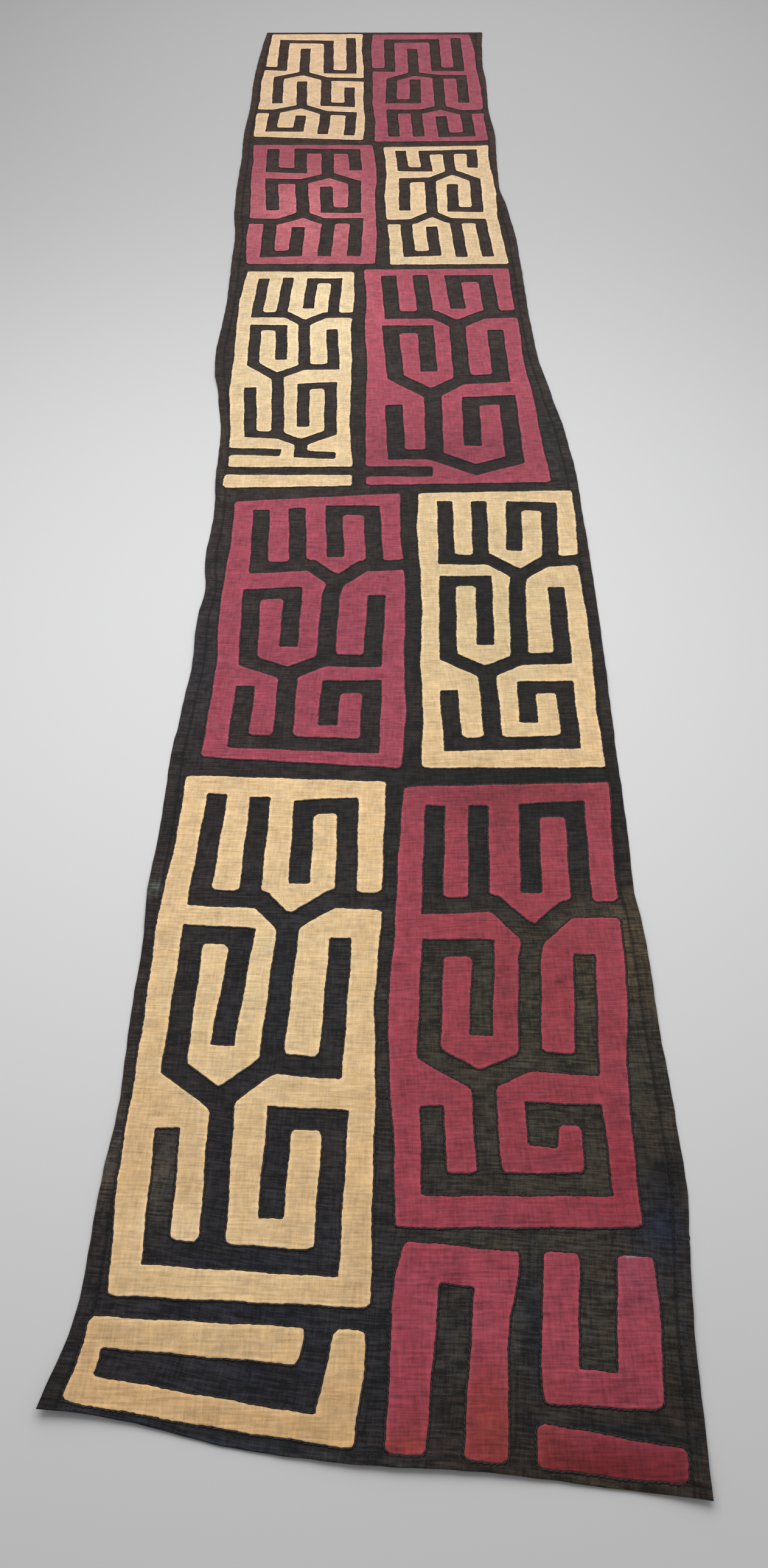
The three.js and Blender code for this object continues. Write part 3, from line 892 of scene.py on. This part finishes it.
@dataclass(frozen=True)
class Sewing:
    """Rows of stitches gathered into one mesh."""

    cut: StitchCut
    seed: int
    stations: tuple[float, ...] = (-0.34, 0.0, 0.34)
    girths: tuple[float, ...] = (0.8, 1.0, 0.8)
    sides: int = 4
    lean_spread: float = 0.07
    length_range: tuple[float, float] = (0.85, 1.12)
    width_range: tuple[float, float] = (0.85, 1.15)
    tip_drop: float = -0.45
    arch: float = 0.8

    def stitches(self, places: Array, directions: Array, heights: Array) -> tuple[Array, Array]:
        """Small spindles: three rings and two points along a slightly arched line, turned along the sewing.

        Args:
            places: Plan places of the stitches, n by 2.
            directions: Unit directions of the sewing there.
            heights: Height of each stitch's middle.

        Returns:
            Vertices and triangles.
        """
        rng = np.random.default_rng(self.seed)
        count = len(places)
        lean = self.cut.lean + rng.normal(0.0, self.lean_spread, count)
        turned = np.stack(
            [
                directions[:, 0] * np.cos(lean) - directions[:, 1] * np.sin(lean),
                directions[:, 0] * np.sin(lean) + directions[:, 1] * np.cos(lean),
            ],
            axis=-1,
        )
        length = self.cut.length * rng.uniform(*self.length_range, count)
        width = self.cut.width * rng.uniform(*self.width_range, count)
        angles = 2.0 * np.pi * np.arange(self.sides) / self.sides
        ring_along = np.repeat(self.stations, self.sides)
        girth = np.repeat(self.girths, self.sides)
        ring_side = 0.5 * girth * np.tile(np.cos(angles), len(self.stations))
        ring_up = 0.5 * girth * np.tile(np.sin(angles), len(self.stations))
        run = np.concatenate([[-0.5], ring_along, [0.5]])
        aside = np.concatenate([[0.0], ring_side, [0.0]])
        up = np.concatenate([[self.tip_drop], ring_up, [self.tip_drop]]) - self.arch * run * run
        sideways = np.stack([-turned[:, 1], turned[:, 0]], axis=-1)
        plan = (
            places[:, None, :]
            + (length[:, None] * run)[..., None] * turned[:, None, :]
            + (width[:, None] * aside)[..., None] * sideways[:, None, :]
        )
        height = heights[:, None] + self.cut.height * up
        points = np.concatenate([plan, height[..., None]], axis=-1)
        triangles = self.spindle_faces()
        offsets = np.arange(count)[:, None, None] * len(run)
        return points.reshape(-1, 3), (triangles[None] + offsets).reshape(-1, 3)

    def spindle_faces(self) -> Array:
        """Triangles of one spindle: a fan at each point and two triangles for each side between rings.

        Returns:
            Corner numbers, one row for each triangle.
        """
        around = np.arange(self.sides)
        after = (around + 1) % self.sides
        last = 1 + self.sides * len(self.stations)
        end = last - self.sides
        fans = [
            np.stack([np.zeros_like(around), 1 + after, 1 + around], axis=-1),
            np.stack([np.full_like(around, last), end + around, end + after], axis=-1),
        ]
        for ring in range(len(self.stations) - 1):
            low, high = 1 + ring * self.sides, 1 + (ring + 1) * self.sides
            fans.append(np.stack([low + around, low + after, high + after], axis=-1))
            fans.append(np.stack([low + around, high + after, high + around], axis=-1))
        return np.concatenate(fans)


@dataclass(frozen=True)
class ThreadEnd:
    """A loose end of thread at a hem: where it leaves, its heading, its length and how far it curls."""

    across: float
    along: float
    heading: float
    length: float
    curl: float


THREAD_ENDS: tuple[ThreadEnd, ...] = (
    ThreadEnd(0.3105, -1.634, 0.35, 11 * MM, 1.4),
    ThreadEnd(0.3085, -1.662, -0.25, 9 * MM, -1.8),
)


def thread_ends(ends: tuple[ThreadEnd, ...], lie: ClothLie) -> tuple[Array, Array]:
    """Tapered threads: five-sided rings along arcs whose heading turns evenly by the curl, from the hem down
    to the floor, the last ring shrunk almost to a point.

    Args:
        ends: The loose ends.
        lie: The lie of the cloth, for the height where each one starts.

    Returns:
        Vertices and four-sided faces.
    """
    sides, stations = 5, 9
    radius, tip, ground, lift = 0.45 * MM, 0.01 * MM, 0.6 * MM, 0.8 * MM
    run = np.linspace(0.0, 1.0, stations)
    table = np.array([(end.across, end.along, end.heading, end.length, end.curl) for end in ends])
    across, along, heading, length, curl = (table[:, i, None] for i in range(5))
    turn = heading + curl * run
    step = length / (stations - 1)
    path_x = across + np.cumsum(step * np.cos(turn), axis=1)
    path_y = along + np.cumsum(step * np.sin(turn), axis=1)
    start = lie.height(across, along) + lift
    path_z = start + (ground - start) * soft_step(0.0, 1.0, run)
    angles = 2.0 * np.pi * np.arange(sides) / sides
    girth = radius * np.sqrt(np.clip(1.0 - run**4, 0.0, 1.0)) + tip
    aside = girth[:, None] * np.cos(angles)
    up = girth[:, None] * np.sin(angles)
    points = np.stack(
        [
            path_x[..., None] - np.sin(turn)[..., None] * aside,
            path_y[..., None] + np.cos(turn)[..., None] * aside,
            path_z[..., None] + up,
        ],
        axis=-1,
    )
    numbers = np.arange(points[..., 0].size).reshape(points.shape[:3])
    after = np.roll(numbers, -1, axis=2)
    walls = np.stack([numbers[:, :-1], after[:, :-1], after[:, 1:], numbers[:, 1:]], axis=-1)
    return points.reshape(-1, 3), walls.reshape(-1, 4)


@dataclass
class GroundLength:
    """One woven length of the black ground: a thin sheet between four edges, hemmed where it is free."""

    number: int
    hem_near: bool
    hem_far: bool
    step: float = 9 * MM
    ease: float = 45 * MM
    edge_step: float = 3 * MM
    least_points: int = 16
    edge_wobble: float = 0.45 * MM
    wobble_rates: tuple[float, float, float] = (83.0, 31.0, 197.0)
    wobble_shift: float = 9.0
    seam_lap: float = 0.2 * MM
    round_angles: tuple[float, ...] = (0.0, 24.0, 48.0, 70.0, 90.0)
    hem_lines: tuple[float, ...] = (0.2, 0.45)
    slope_lines: tuple[float, ...] = (-1.4, -0.5, 0.0, 0.33, 0.66, 1.0, 1.7)
    plain_line: float = 4 * MM
    weave_shift: tuple[float, float] = (0.37, 0.83)
    sewn_points: int = 400
    sewn_slope: float = 0.4
    hem_stitch_rise: float = 0.35 * MM
    join_stitch_sink: float = 0.05 * MM
    seeds_each: int = 100

    def __post_init__(self) -> None:
        """Takes the four edges from the solid's outline."""
        self.node = f"ground_{self.number}"
        self.shape = PlanShape.of_node(self.node, upper=False)
        outline = self.shape.outlines[0]
        x, y = outline[:, 0] - outline[:, 0].mean(), outline[:, 1] - outline[:, 1].mean()
        start = int(np.argmin(x + y))
        outline = np.roll(outline, -start, axis=0)
        x, y = np.roll(x, -start), np.roll(y, -start)
        turns = [0, int(np.argmax(x - y)), int(np.argmax(x + y)), int(np.argmin(x - y)), len(outline)]
        closed = np.concatenate([outline, outline[:1]])
        near, right, far, left = (closed[a : b + 1] for a, b in zip(turns[:-1], turns[1:]))
        self.near, self.right = self.eased(near, self.hem_near), self.eased(right, True)
        self.far, self.left = self.eased(far[::-1], self.hem_far), self.eased(left[::-1], True)
        if not self.hem_near:
            self.near[:, 1] -= self.seam_lap
        if not self.hem_far:
            self.far[:, 1] += self.seam_lap
        self.left[[0, -1]], self.right[[0, -1]] = (self.near[0], self.far[0]), (self.near[-1], self.far[-1])

    def eased(self, edge: Array, free: bool) -> Array:
        """An edge as a smooth line: fine steps, averaged over the ease length about a straight line between
        its ends, which stay where they are, with a little wobble from the hand.

        Args:
            edge: Plan points in order.
            free: Whether the edge is a hem, which wobbles, and not a join.

        Returns:
            The smooth edge in even steps.
        """
        lengths = line_lengths(edge)
        count = max(self.least_points, int(lengths[-1] / self.edge_step))
        even = np.linspace(0.0, lengths[-1], count)
        chord = edge[0] + (edge[-1] - edge[0]) * (even / lengths[-1])[:, None]
        off = line_points(even, lengths, edge) - chord
        half = max(1, int(self.ease / 2 / (even[1] - even[0])))
        mirrored = np.concatenate([-off[half:0:-1], off, -off[-2 : -half - 2 : -1]])
        window = np.ones(2 * half + 1) / (2 * half + 1)
        off = np.stack([np.convolve(mirrored[:, axis], window, mode="valid") for axis in (0, 1)], axis=-1)
        along = (edge[-1] - edge[0]) / np.linalg.norm(edge[-1] - edge[0])
        aside = np.array([-along[1], along[0]])
        phase = self.wobble_shift * self.number
        slow, slower, quick = (np.sin(even * rate + phase) for rate in self.wobble_rates)
        wobble = slow * slower + 0.5 * quick
        fade = np.sqrt(np.clip(np.sin(np.pi * even / lengths[-1]), 0.0, 1.0)) * float(free)
        return chord + off + (self.edge_wobble * wobble * fade)[:, None] * aside

    @staticmethod
    def on_edge(edge: Array, share: Array) -> Array:
        """Points at shares from 0 to 1 of an edge's length."""
        return line_points(share, np.linspace(0.0, 1.0, len(edge)), edge)

    def plan(self, u: Array, v: Array) -> Array:
        """The sheet's plan by a Coons patch: the two pairs of edges blended, less the blend of the corners.

        Args:
            u: Shares across, from the left edge to the right.
            v: Shares along, from the near edge to the far.

        Returns:
            Plan points, with one more axis than u.
        """
        across, along = u[..., None], v[..., None]
        ends = (1 - along) * self.on_edge(self.near, u) + along * self.on_edge(self.far, u)
        sides = (1 - across) * self.on_edge(self.left, v) + across * self.on_edge(self.right, v)
        corners = (1 - along) * ((1 - across) * self.near[0] + across * self.near[-1])
        corners = corners + along * ((1 - across) * self.far[0] + across * self.far[-1])
        return ends + sides - corners

    @property
    def width(self) -> float:
        """Length of the near edge from corner to corner."""
        return float(np.linalg.norm(self.near[-1] - self.near[0]))

    @property
    def span(self) -> float:
        """Mean length of the two side edges from corner to corner."""
        return float(np.linalg.norm(self.left[-1] - self.left[0] + self.right[-1] - self.right[0]) / 2)

    def steps(self, lie: ClothLie, span: float, hem_start: float, hem_end: float) -> Array:
        """Distances across the sheet: close together round each edge and over a hem's slope, even between.

        Args:
            lie: The lie of the cloth, for its hem's sizes.
            span: Whole distance.
            hem_start: Width of the hem at the first edge, or 0.
            hem_end: Width of the hem at the last edge, or 0.

        Returns:
            Rising distances from 0 to the span.
        """

        def lines(hem: float) -> Array:
            """Distances of the grid lines near one edge: round its rim, over the hem and down its slope.

            Args:
                hem: Width of the hem, or 0.

            Returns:
                Rising distances from the edge.
            """
            radius = (lie.hem_thickness if hem else GROUND_THICKNESS) / 2
            rounding = radius * (1.0 - np.cos(np.radians(self.round_angles)))
            if not hem:
                return np.append(rounding, self.plain_line)
            slope = hem + lie.hem_slope * np.array(self.slope_lines)
            return np.concatenate([rounding, np.array(self.hem_lines) * hem, slope])

        start, end = lines(hem_start), span - lines(hem_end)[::-1]
        count = int((end[0] - start[-1]) / self.step)
        middle = np.linspace(start[-1], end[0], count + 1)[1:-1]
        return np.concatenate([start, middle, end])

    @staticmethod
    def rounding(inset: Array, thickness: Array) -> Array:
        """Share of the thickness near an edge: a half circle's height at that distance from its end."""
        return np.sqrt(np.clip(1.0 - (1.0 - np.clip(2.0 * inset / thickness, 0.0, 1.0)) ** 2, 0.0, 1.0))

    def build(self, lie: ClothLie, finishes: Finishes) -> Piece:
        """Builds the sheet: upper and lower faces on one grid, which meet in its rim, on the cloth's lie.

        Args:
            lie: The lie of the cloth.
            finishes: The materials.

        Returns:
            The sheet's object.
        """
        near_hem, far_hem = lie.near_hem_width * self.hem_near, lie.hem_width * self.hem_far
        columns = self.steps(lie, self.width, lie.hem_width, lie.hem_width)
        rows = self.steps(lie, self.span, near_hem, far_hem)
        across, along = np.meshgrid(columns, rows)
        plan = self.plan(across / self.width, along / self.span)
        from_side = np.minimum(across, self.width - across)
        plain = np.full_like(across, GROUND_THICKNESS)
        side = lie.hem(from_side, lie.hem_width)
        near = lie.hem(along, near_hem) if self.hem_near else plain
        far = lie.hem(self.span - along, far_hem) if self.hem_far else plain
        thick = np.maximum(np.maximum(side, near), far)
        full = thick * self.rounding(from_side, side)
        full = full * self.rounding(along, near) * self.rounding(self.span - along, far)
        floor = lie.height(plan[..., 0].ravel(), plan[..., 1].ravel()).reshape(across.shape)
        middle = floor + thick / 2
        upper = np.dstack([plan, middle + full / 2]).reshape(-1, 3)
        lower = np.dstack([plan, middle - full / 2]).reshape(-1, 3)
        numbers = np.arange(across.size).reshape(across.shape)
        rim = np.ones(across.shape, dtype=bool)
        rim[1:-1, 1:-1] = False
        under = numbers.copy()
        under[~rim] = across.size + np.arange(int((~rim).sum()))
        points = np.concatenate([upper, lower[~rim.ravel()]])
        faces = [self.squares(numbers), self.squares(under)[:, ::-1]]
        name = f"black_length_{self.number}"
        piece = make_piece(name, points, faces, finishes.cloths[Cloth.BLACK])
        weave = np.dstack([across, along]).reshape(-1, 2) + np.array(self.weave_shift) * self.number
        weave = np.concatenate([weave, weave[~rim.ravel()]])
        # Painted shade along each hem's foot, where it steps down to the plain cloth, together with the
        # darker line of the hem's sewing.
        shade = lie.painted_hem_shade(from_side, lie.hem_width)
        shade = shade * (lie.painted_hem_shade(along, near_hem) if self.hem_near else 1.0)
        shade = shade * (lie.painted_hem_shade(self.span - along, far_hem) if self.hem_far else 1.0)
        shade = np.concatenate([shade.ravel(), np.ones(int((~rim).sum()))])
        dye = DYES_AND_SHEEN[Cloth.BLACK].colours(points[:, 0], points[:, 1]) * shade[:, None]
        add_weave(piece, weave, dye)
        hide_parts(self.node)
        return piece

    @staticmethod
    def squares(numbers: Array) -> Array:
        """Four-sided faces of a grid of vertex numbers, facing up."""
        block = [numbers[:-1, :-1], numbers[:-1, 1:], numbers[1:, 1:], numbers[1:, :-1]]
        return np.stack(block, axis=-1).reshape(-1, 4)

    def sew(self, lie: ClothLie, finishes: Finishes) -> Piece:
        """Sews the hems with running stitches, and the far join with short stitches across it.

        Args:
            lie: The lie of the cloth.
            finishes: The materials.

        Returns:
            The stitching's object.
        """
        fine = np.linspace(0.0, 1.0, self.sewn_points)
        past_hem = self.sewn_slope * lie.hem_slope
        in_side = (lie.hem_width + past_hem) / self.width
        in_near = (lie.near_hem_width + past_hem) / self.span
        in_end = (lie.hem_width + past_hem) / self.span
        trim = in_end + (1.0 - 2.0 * in_end) * fine
        inner = in_side + (1.0 - 2.0 * in_side) * fine
        hems = [self.plan(np.full_like(trim, share), trim) for share in (in_side, 1.0 - in_side)]
        if self.hem_near:
            hems.append(self.plan(inner, np.full_like(inner, in_near)))
        if self.hem_far:
            hems.append(self.plan(inner, np.full_like(inner, 1.0 - in_end)))
        runs = [(HEM_STITCH, hem, GROUND_THICKNESS + self.hem_stitch_rise) for hem in hems]
        if not self.hem_far:
            join = self.plan(inner, np.ones_like(inner))
            runs.append((JOIN_STITCH, join, GROUND_THICKNESS - self.join_stitch_sink))
        blocks, faces, count = [], [], 0
        for order, (cut, line, rise) in enumerate(runs):
            places, directions = spaced_line(line, cut.pitch, closed=False)
            heights = lie.height(places[:, 0], places[:, 1]) + rise
            sewing = Sewing(cut, seed=self.seeds_each * self.number + order)
            points, triangles = sewing.stitches(places, directions, heights)
            blocks.append(points)
            faces.append(triangles + count)
            count += len(points)
        if self.hem_near:
            points, walls = thread_ends(THREAD_ENDS, lie)
            blocks.append(points)
            faces.append(walls + count)
        name = f"black_length_{self.number}_stitching"
        piece = make_piece(name, np.concatenate(blocks), faces, finishes.thread)
        return piece


@dataclass
class SewnPanel:
    """A cream or crimson panel, cut through with channels and sewn to the ground along all its edges."""

    node: str
    cloth: Cloth
    seed: int
    cell: float = 4.5 * MM
    rim: float = 1.5 * MM
    corner: float = 1.5 * MM
    corner_points: int = 4
    puff: float = 0.45 * MM
    puff_reach: float = 10 * MM
    snip: float = 0.5 * MM
    # Painted highlight: the dye is lightened by this share within this reach of the cut edge, as if the
    # turned edge caught the light.
    rim_highlight: float = 0.2
    rim_highlight_reach: float = 4.5 * MM
    rim_angles: tuple[float, ...] = (35.0, 65.0, 90.0)
    # The sewing line lies a little out on the ground, so the dark stitches also cover where the panel's edge
    # casts shade.
    sewn_off: float = 0.9 * MM
    sewn_rise: float = 0.4
    slope_reach: float = 1.0 * MM
    snip_shift: float = 1.7
    weave_turn: float = 0.035
    turn_shift: float = 2.9
    weave_shift: tuple[float, float] = (0.61, 0.29)

    def __post_init__(self) -> None:
        """Takes the cutting lines from the solid's top face."""
        self.shape = PlanShape.of_node(self.node, upper=True)

    def inset(self, points: Array) -> Array:
        """Distance in from the sewn edge: the cutting line's, at points strayed by the scissors' small
        waves, averaged over a ring so that corners are round.

        Args:
            points: Plan points, n by 2.

        Returns:
            Distances, negative off the cloth.
        """
        start = self.snip_shift * self.seed
        across = (
            Wave(31.0, 73.0, 1.0, start),
            Wave(-90.0, 237.0, 0.5, 2.0 * start),
            Wave(150.0, 610.0, 0.7, 3.0 * start),
        )
        along = (
            Wave(81.0, -37.0, 1.0, start),
            Wave(253.0, 70.0, 0.5, 3.0 * start),
            Wave(590.0, -170.0, 0.7, 2.0 * start),
        )
        stray = np.stack([sum(wave.at(*points.T) for wave in waves) for waves in (across, along)], axis=-1)
        angles = 2.0 * np.pi * (np.arange(self.corner_points) + 0.5) / self.corner_points
        ring = self.corner * np.stack([np.cos(angles), np.sin(angles)], axis=-1)
        moved = points + self.snip * stray
        return np.mean([self.shape.inset(moved + offset) for offset in ring], axis=0)

    def cut(self) -> tuple[Array, list[Array], Array, Array]:
        """Cuts the cloth out of a square grid by marching squares: cells wholly inside stay whole, and the
        sides that the line crosses get a point by straight interpolation of the distance.

        Returns:
            Plan points, face arrays, the numbers of the edge points, and for each the one that follows.
        """
        low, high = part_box(self.node)
        x = np.arange(low.x - 2 * self.cell, high.x + 2 * self.cell, self.cell)
        y = np.arange(low.y - 2 * self.cell, high.y + 2 * self.cell, self.cell)
        grid = np.stack(np.meshgrid(x, y, indexing="ij"), axis=-1)
        depth = self.inset(grid.reshape(-1, 2)).reshape(grid.shape[:2]) - self.rim
        depth = np.where(np.abs(depth) < TINY, TINY, depth)
        on_cloth = depth > 0.0
        numbers = np.full(depth.shape, -1)
        numbers[on_cloth] = np.arange(int(on_cloth.sum()))
        points = [grid[on_cloth]]
        crossings = []
        total = len(points[0])
        for first, last in ((np.s_[:-1, :], np.s_[1:, :]), (np.s_[:, :-1], np.s_[:, 1:])):
            crossed = on_cloth[first] != on_cloth[last]
            share = (depth[first][crossed] / (depth[first][crossed] - depth[last][crossed]))[:, None]
            points.append(grid[first][crossed] * (1 - share) + grid[last][crossed] * share)
            label = np.full(crossed.shape, -1)
            label[crossed] = total + np.arange(int(crossed.sum()))
            total += int(crossed.sum())
            crossings.append(label)
        flat, upright = crossings
        labels = np.stack(
            [
                numbers[:-1, :-1], numbers[1:, :-1], numbers[1:, 1:], numbers[:-1, 1:],
                flat[:, :-1], upright[1:, :], flat[:, 1:], upright[:-1, :],
            ],
            axis=-1,
        ).reshape(-1, 8)
        key = (labels[:, :FIRST_CROSSING] >= 0) @ np.array(CORNER_KEYS)
        faces, starts, ends = [], [], []
        for case, polygons in SQUARE_FACES.items():
            squares = labels[key == case]
            for polygon in polygons:
                faces.append(squares[:, polygon])
                for here, there in zip(polygon, polygon[1:] + polygon[:1]):
                    if here >= FIRST_CROSSING and there >= FIRST_CROSSING:
                        starts.append(squares[:, here])
                        ends.append(squares[:, there])
        start, end = np.concatenate(starts), np.concatenate(ends)
        edge = np.sort(start)
        following = np.searchsorted(edge, end[np.argsort(start)])
        return np.concatenate(points), [block for block in faces if len(block)], edge, following

    def outward(self, points: Array) -> Array:
        """Directions off the cloth: down the slope of the distance, by differences over a short reach.

        Args:
            points: Plan points, n by 2.

        Returns:
            Unit directions.
        """
        reach = self.slope_reach * np.eye(2)
        slope = np.stack([self.inset(points - step) - self.inset(points + step) for step in reach], axis=-1)
        return slope / np.maximum(np.linalg.norm(slope, axis=1, keepdims=True), TINY)

    def build(self, lie: ClothLie, finishes: Finishes) -> tuple[Piece, Piece]:
        """Builds the cloth and its sewing: the cut face, puffed a little away from its edges, a rim in
        quarter round rings down to the ground, and the face again as underside.

        Args:
            lie: The lie of the cloth.
            finishes: The materials.

        Returns:
            The panel's and the stitching's objects.
        """
        plan, faces, edge, following = self.cut()
        outward = self.outward(plan[edge])
        depth = self.inset(plan)
        base = lie.top(plan[:, 0], plan[:, 1]) + LAYER_GAP
        puff = self.puff * soft_step(self.rim, self.puff_reach, depth)
        top = np.column_stack([plan, base + PANEL_THICKNESS + puff])
        rings = []
        for angle in np.radians(self.rim_angles):
            ring = plan[edge] + self.rim * math.sin(angle) * outward
            rings.append(np.column_stack([ring, base[edge] + PANEL_THICKNESS * math.cos(angle)]))
        under = np.column_stack([plan, base])
        points = np.concatenate([top, *rings, under])
        count, around = len(plan), len(edge)
        below = count + around * len(rings)
        ring_numbers = np.arange(count, below).reshape(len(rings), around)
        walls = [edge, *ring_numbers, below + edge]
        strips = [
            np.stack([inner, outer, outer[following], inner[following]], axis=-1)
            for inner, outer in zip(walls[:-1], walls[1:])
        ]
        bottom = [block[:, ::-1] + below for block in faces]
        finish = finishes.cloths[self.cloth]
        piece = make_piece(f"{self.node}_cloth", points, faces + strips + bottom, finish)
        dye = DYES_AND_SHEEN[self.cloth].colours(points[:, 0], points[:, 1])
        # Painted highlight: lighter dye near the cut edge and over the whole rounded rim, but not the
        # underside, standing in for light on the turned edge.
        near_rim = 1.0 - soft_step(self.rim, self.rim_highlight_reach, depth)
        pale = np.concatenate([near_rim, np.ones(below - count), np.zeros(count)])
        turn = self.weave_turn * math.sin(self.turn_shift * self.seed)
        shift_across, shift_along = np.array(self.weave_shift) * self.seed
        across = points[:, 0] * math.cos(turn) - points[:, 1] * math.sin(turn) + shift_across
        along = points[:, 0] * math.sin(turn) + points[:, 1] * math.cos(turn) + shift_along
        add_weave(piece, np.column_stack([across, along]), dye * (1.0 + self.rim_highlight * pale[:, None]))
        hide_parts(self.node)
        return piece, self.sew(plan[edge] + (self.rim + self.sewn_off) * outward, following, lie, finishes)

    def sew(self, line: Array, following: Array, lie: ClothLie, finishes: Finishes) -> Piece:
        """Sews the edge down with leaning stitches that follow each other round every outline, their wide
        dark band partly real stitching and partly painted shade along the edge.

        Args:
            line: Plan points of the sewing line.
            following: For each point the one that follows it.
            lie: The lie of the cloth.
            finishes: The materials.

        Returns:
            The stitching's object.
        """
        loops = ordered_loops(following)
        runs = [spaced_line(line[loop], EDGE_STITCH_AND_SHADE.pitch, closed=True) for loop in loops]
        places, directions = (np.concatenate(part) for part in zip(*runs))
        heights = lie.top(places[:, 0], places[:, 1]) + self.sewn_rise * EDGE_STITCH_AND_SHADE.height
        points, triangles = Sewing(EDGE_STITCH_AND_SHADE, self.seed).stitches(places, directions, heights)
        piece = make_piece(f"{self.node}_stitching", points, [triangles], finishes.thread)
        return piece


@dataclass(frozen=True)
class Lamp:
    """A soft rectangular light that hangs over the cloth and points straight down."""

    name: str
    place: tuple[float, float, float]
    size: tuple[float, float]
    power: float

    def hang(self) -> None:
        """Makes the light and puts it in its place."""
        light = bpy.data.lights.new(self.name, "AREA")
        light.shape = "RECTANGLE"
        light.size, light.size_y = self.size
        light.energy = self.power
        lamp = bpy.data.objects.new(self.name, light)
        lamp.location = self.place
        bpy.context.scene.collection.objects.link(lamp)


@dataclass(frozen=True)
class Studio:
    """A pale floor, soft light from above, and the camera low at the near end."""

    eye: tuple[float, float, float] = (0.00814, -2.3065, 1.3018)
    pitch_down: float = 45.65
    lens: float = 31.75
    sensor: float = 36.0
    floor_size: float = 30.0
    floor_tone: Colour = tone(194, 194, 195)
    floor_roughness: float = 0.8
    far_clip: float = 100.0
    world_strength: float = 0.45
    lamps: tuple[Lamp, ...] = (
        Lamp("soft_key", (-0.1, -0.69, 1.246), (1.81, 1.81), 22.7),
        Lamp("soft_back", (0.18, 1.82, 1.247), (2.29, 2.29), 12.6),
    )

    def floor(self) -> None:
        """Lays a plain square floor."""
        half = self.floor_size / 2
        corners = half * np.array([[-1, -1, 0], [1, -1, 0], [1, 1, 0], [-1, 1, 0]], dtype=float)
        mesh = bpy.data.meshes.new("floor")
        mesh.from_pydata(corners.tolist(), [], [(0, 1, 2, 3)])
        made = bpy.data.materials.new("pale_floor")
        made.use_nodes = True
        shader = made.node_tree.nodes["Principled BSDF"]
        shader.inputs["Base Color"].default_value = (*self.floor_tone, 1.0)
        shader.inputs["Roughness"].default_value = self.floor_roughness
        mesh.materials.append(made)
        floor = bpy.data.objects.new("floor", mesh)
        bpy.context.scene.collection.objects.link(floor)

    def light(self) -> None:
        """Hangs the lights, lifts the shadows with a pale world, and shows tones as they are."""
        for lamp in self.lamps:
            lamp.hang()
        bpy.context.scene.view_settings.view_transform = "Standard"
        world = bpy.data.worlds.new("pale_room")
        world.use_nodes = True
        sky = world.node_tree.nodes["Background"]
        sky.inputs["Color"].default_value = (1.0, 1.0, 1.0, 1.0)
        sky.inputs["Strength"].default_value = self.world_strength
        bpy.context.scene.world = world

    def camera(self) -> None:
        """Sets the camera at the near end, looking along the cloth and down."""
        view = bpy.data.cameras.new("camera")
        view.lens = self.lens
        view.sensor_width = self.sensor
        view.clip_end = self.far_clip
        camera = bpy.data.objects.new("camera", view)
        camera.location = self.eye
        camera.rotation_euler = (math.radians(90.0 - self.pitch_down), 0.0, 0.0)
        bpy.context.scene.collection.objects.link(camera)
        bpy.context.scene.camera = camera


def panel_nodes() -> list[str]:
    """Names of the panels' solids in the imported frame, in order."""
    return sorted(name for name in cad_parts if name.startswith("row"))


def ground_count() -> int:
    """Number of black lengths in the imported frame."""
    return sum(name.startswith("ground_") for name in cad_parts)


def main() -> None:
    """Builds the studio, the black ground, the panels and their sewing."""
    logging.basicConfig(level=logging.INFO, format="%(message)s")
    studio = Studio()
    studio.camera()
    studio.floor()
    studio.light()
    finishes = Finishes.make()
    count = ground_count()
    lengths = [GroundLength(i + 1, hem_near=i == 0, hem_far=i == count - 1) for i in range(count)]
    lie = ClothLie(
        left=np.concatenate([length.left for length in lengths]),
        right=np.concatenate([length.right for length in lengths]),
        near=lengths[0].near,
    )
    for length in lengths:
        sheet, stitching = length.build(lie, finishes), length.sew(lie, finishes)
        report(sheet, stitching)
    for seed, node in enumerate(panel_nodes()):
        cloth = Cloth.CREAM if "cream" in node else Cloth.CRIMSON
        panel = SewnPanel(node, cloth, seed)
        sheet, stitching = panel.build(lie, finishes)
        report(sheet, stitching)


if __name__ == "__main__":
    main()
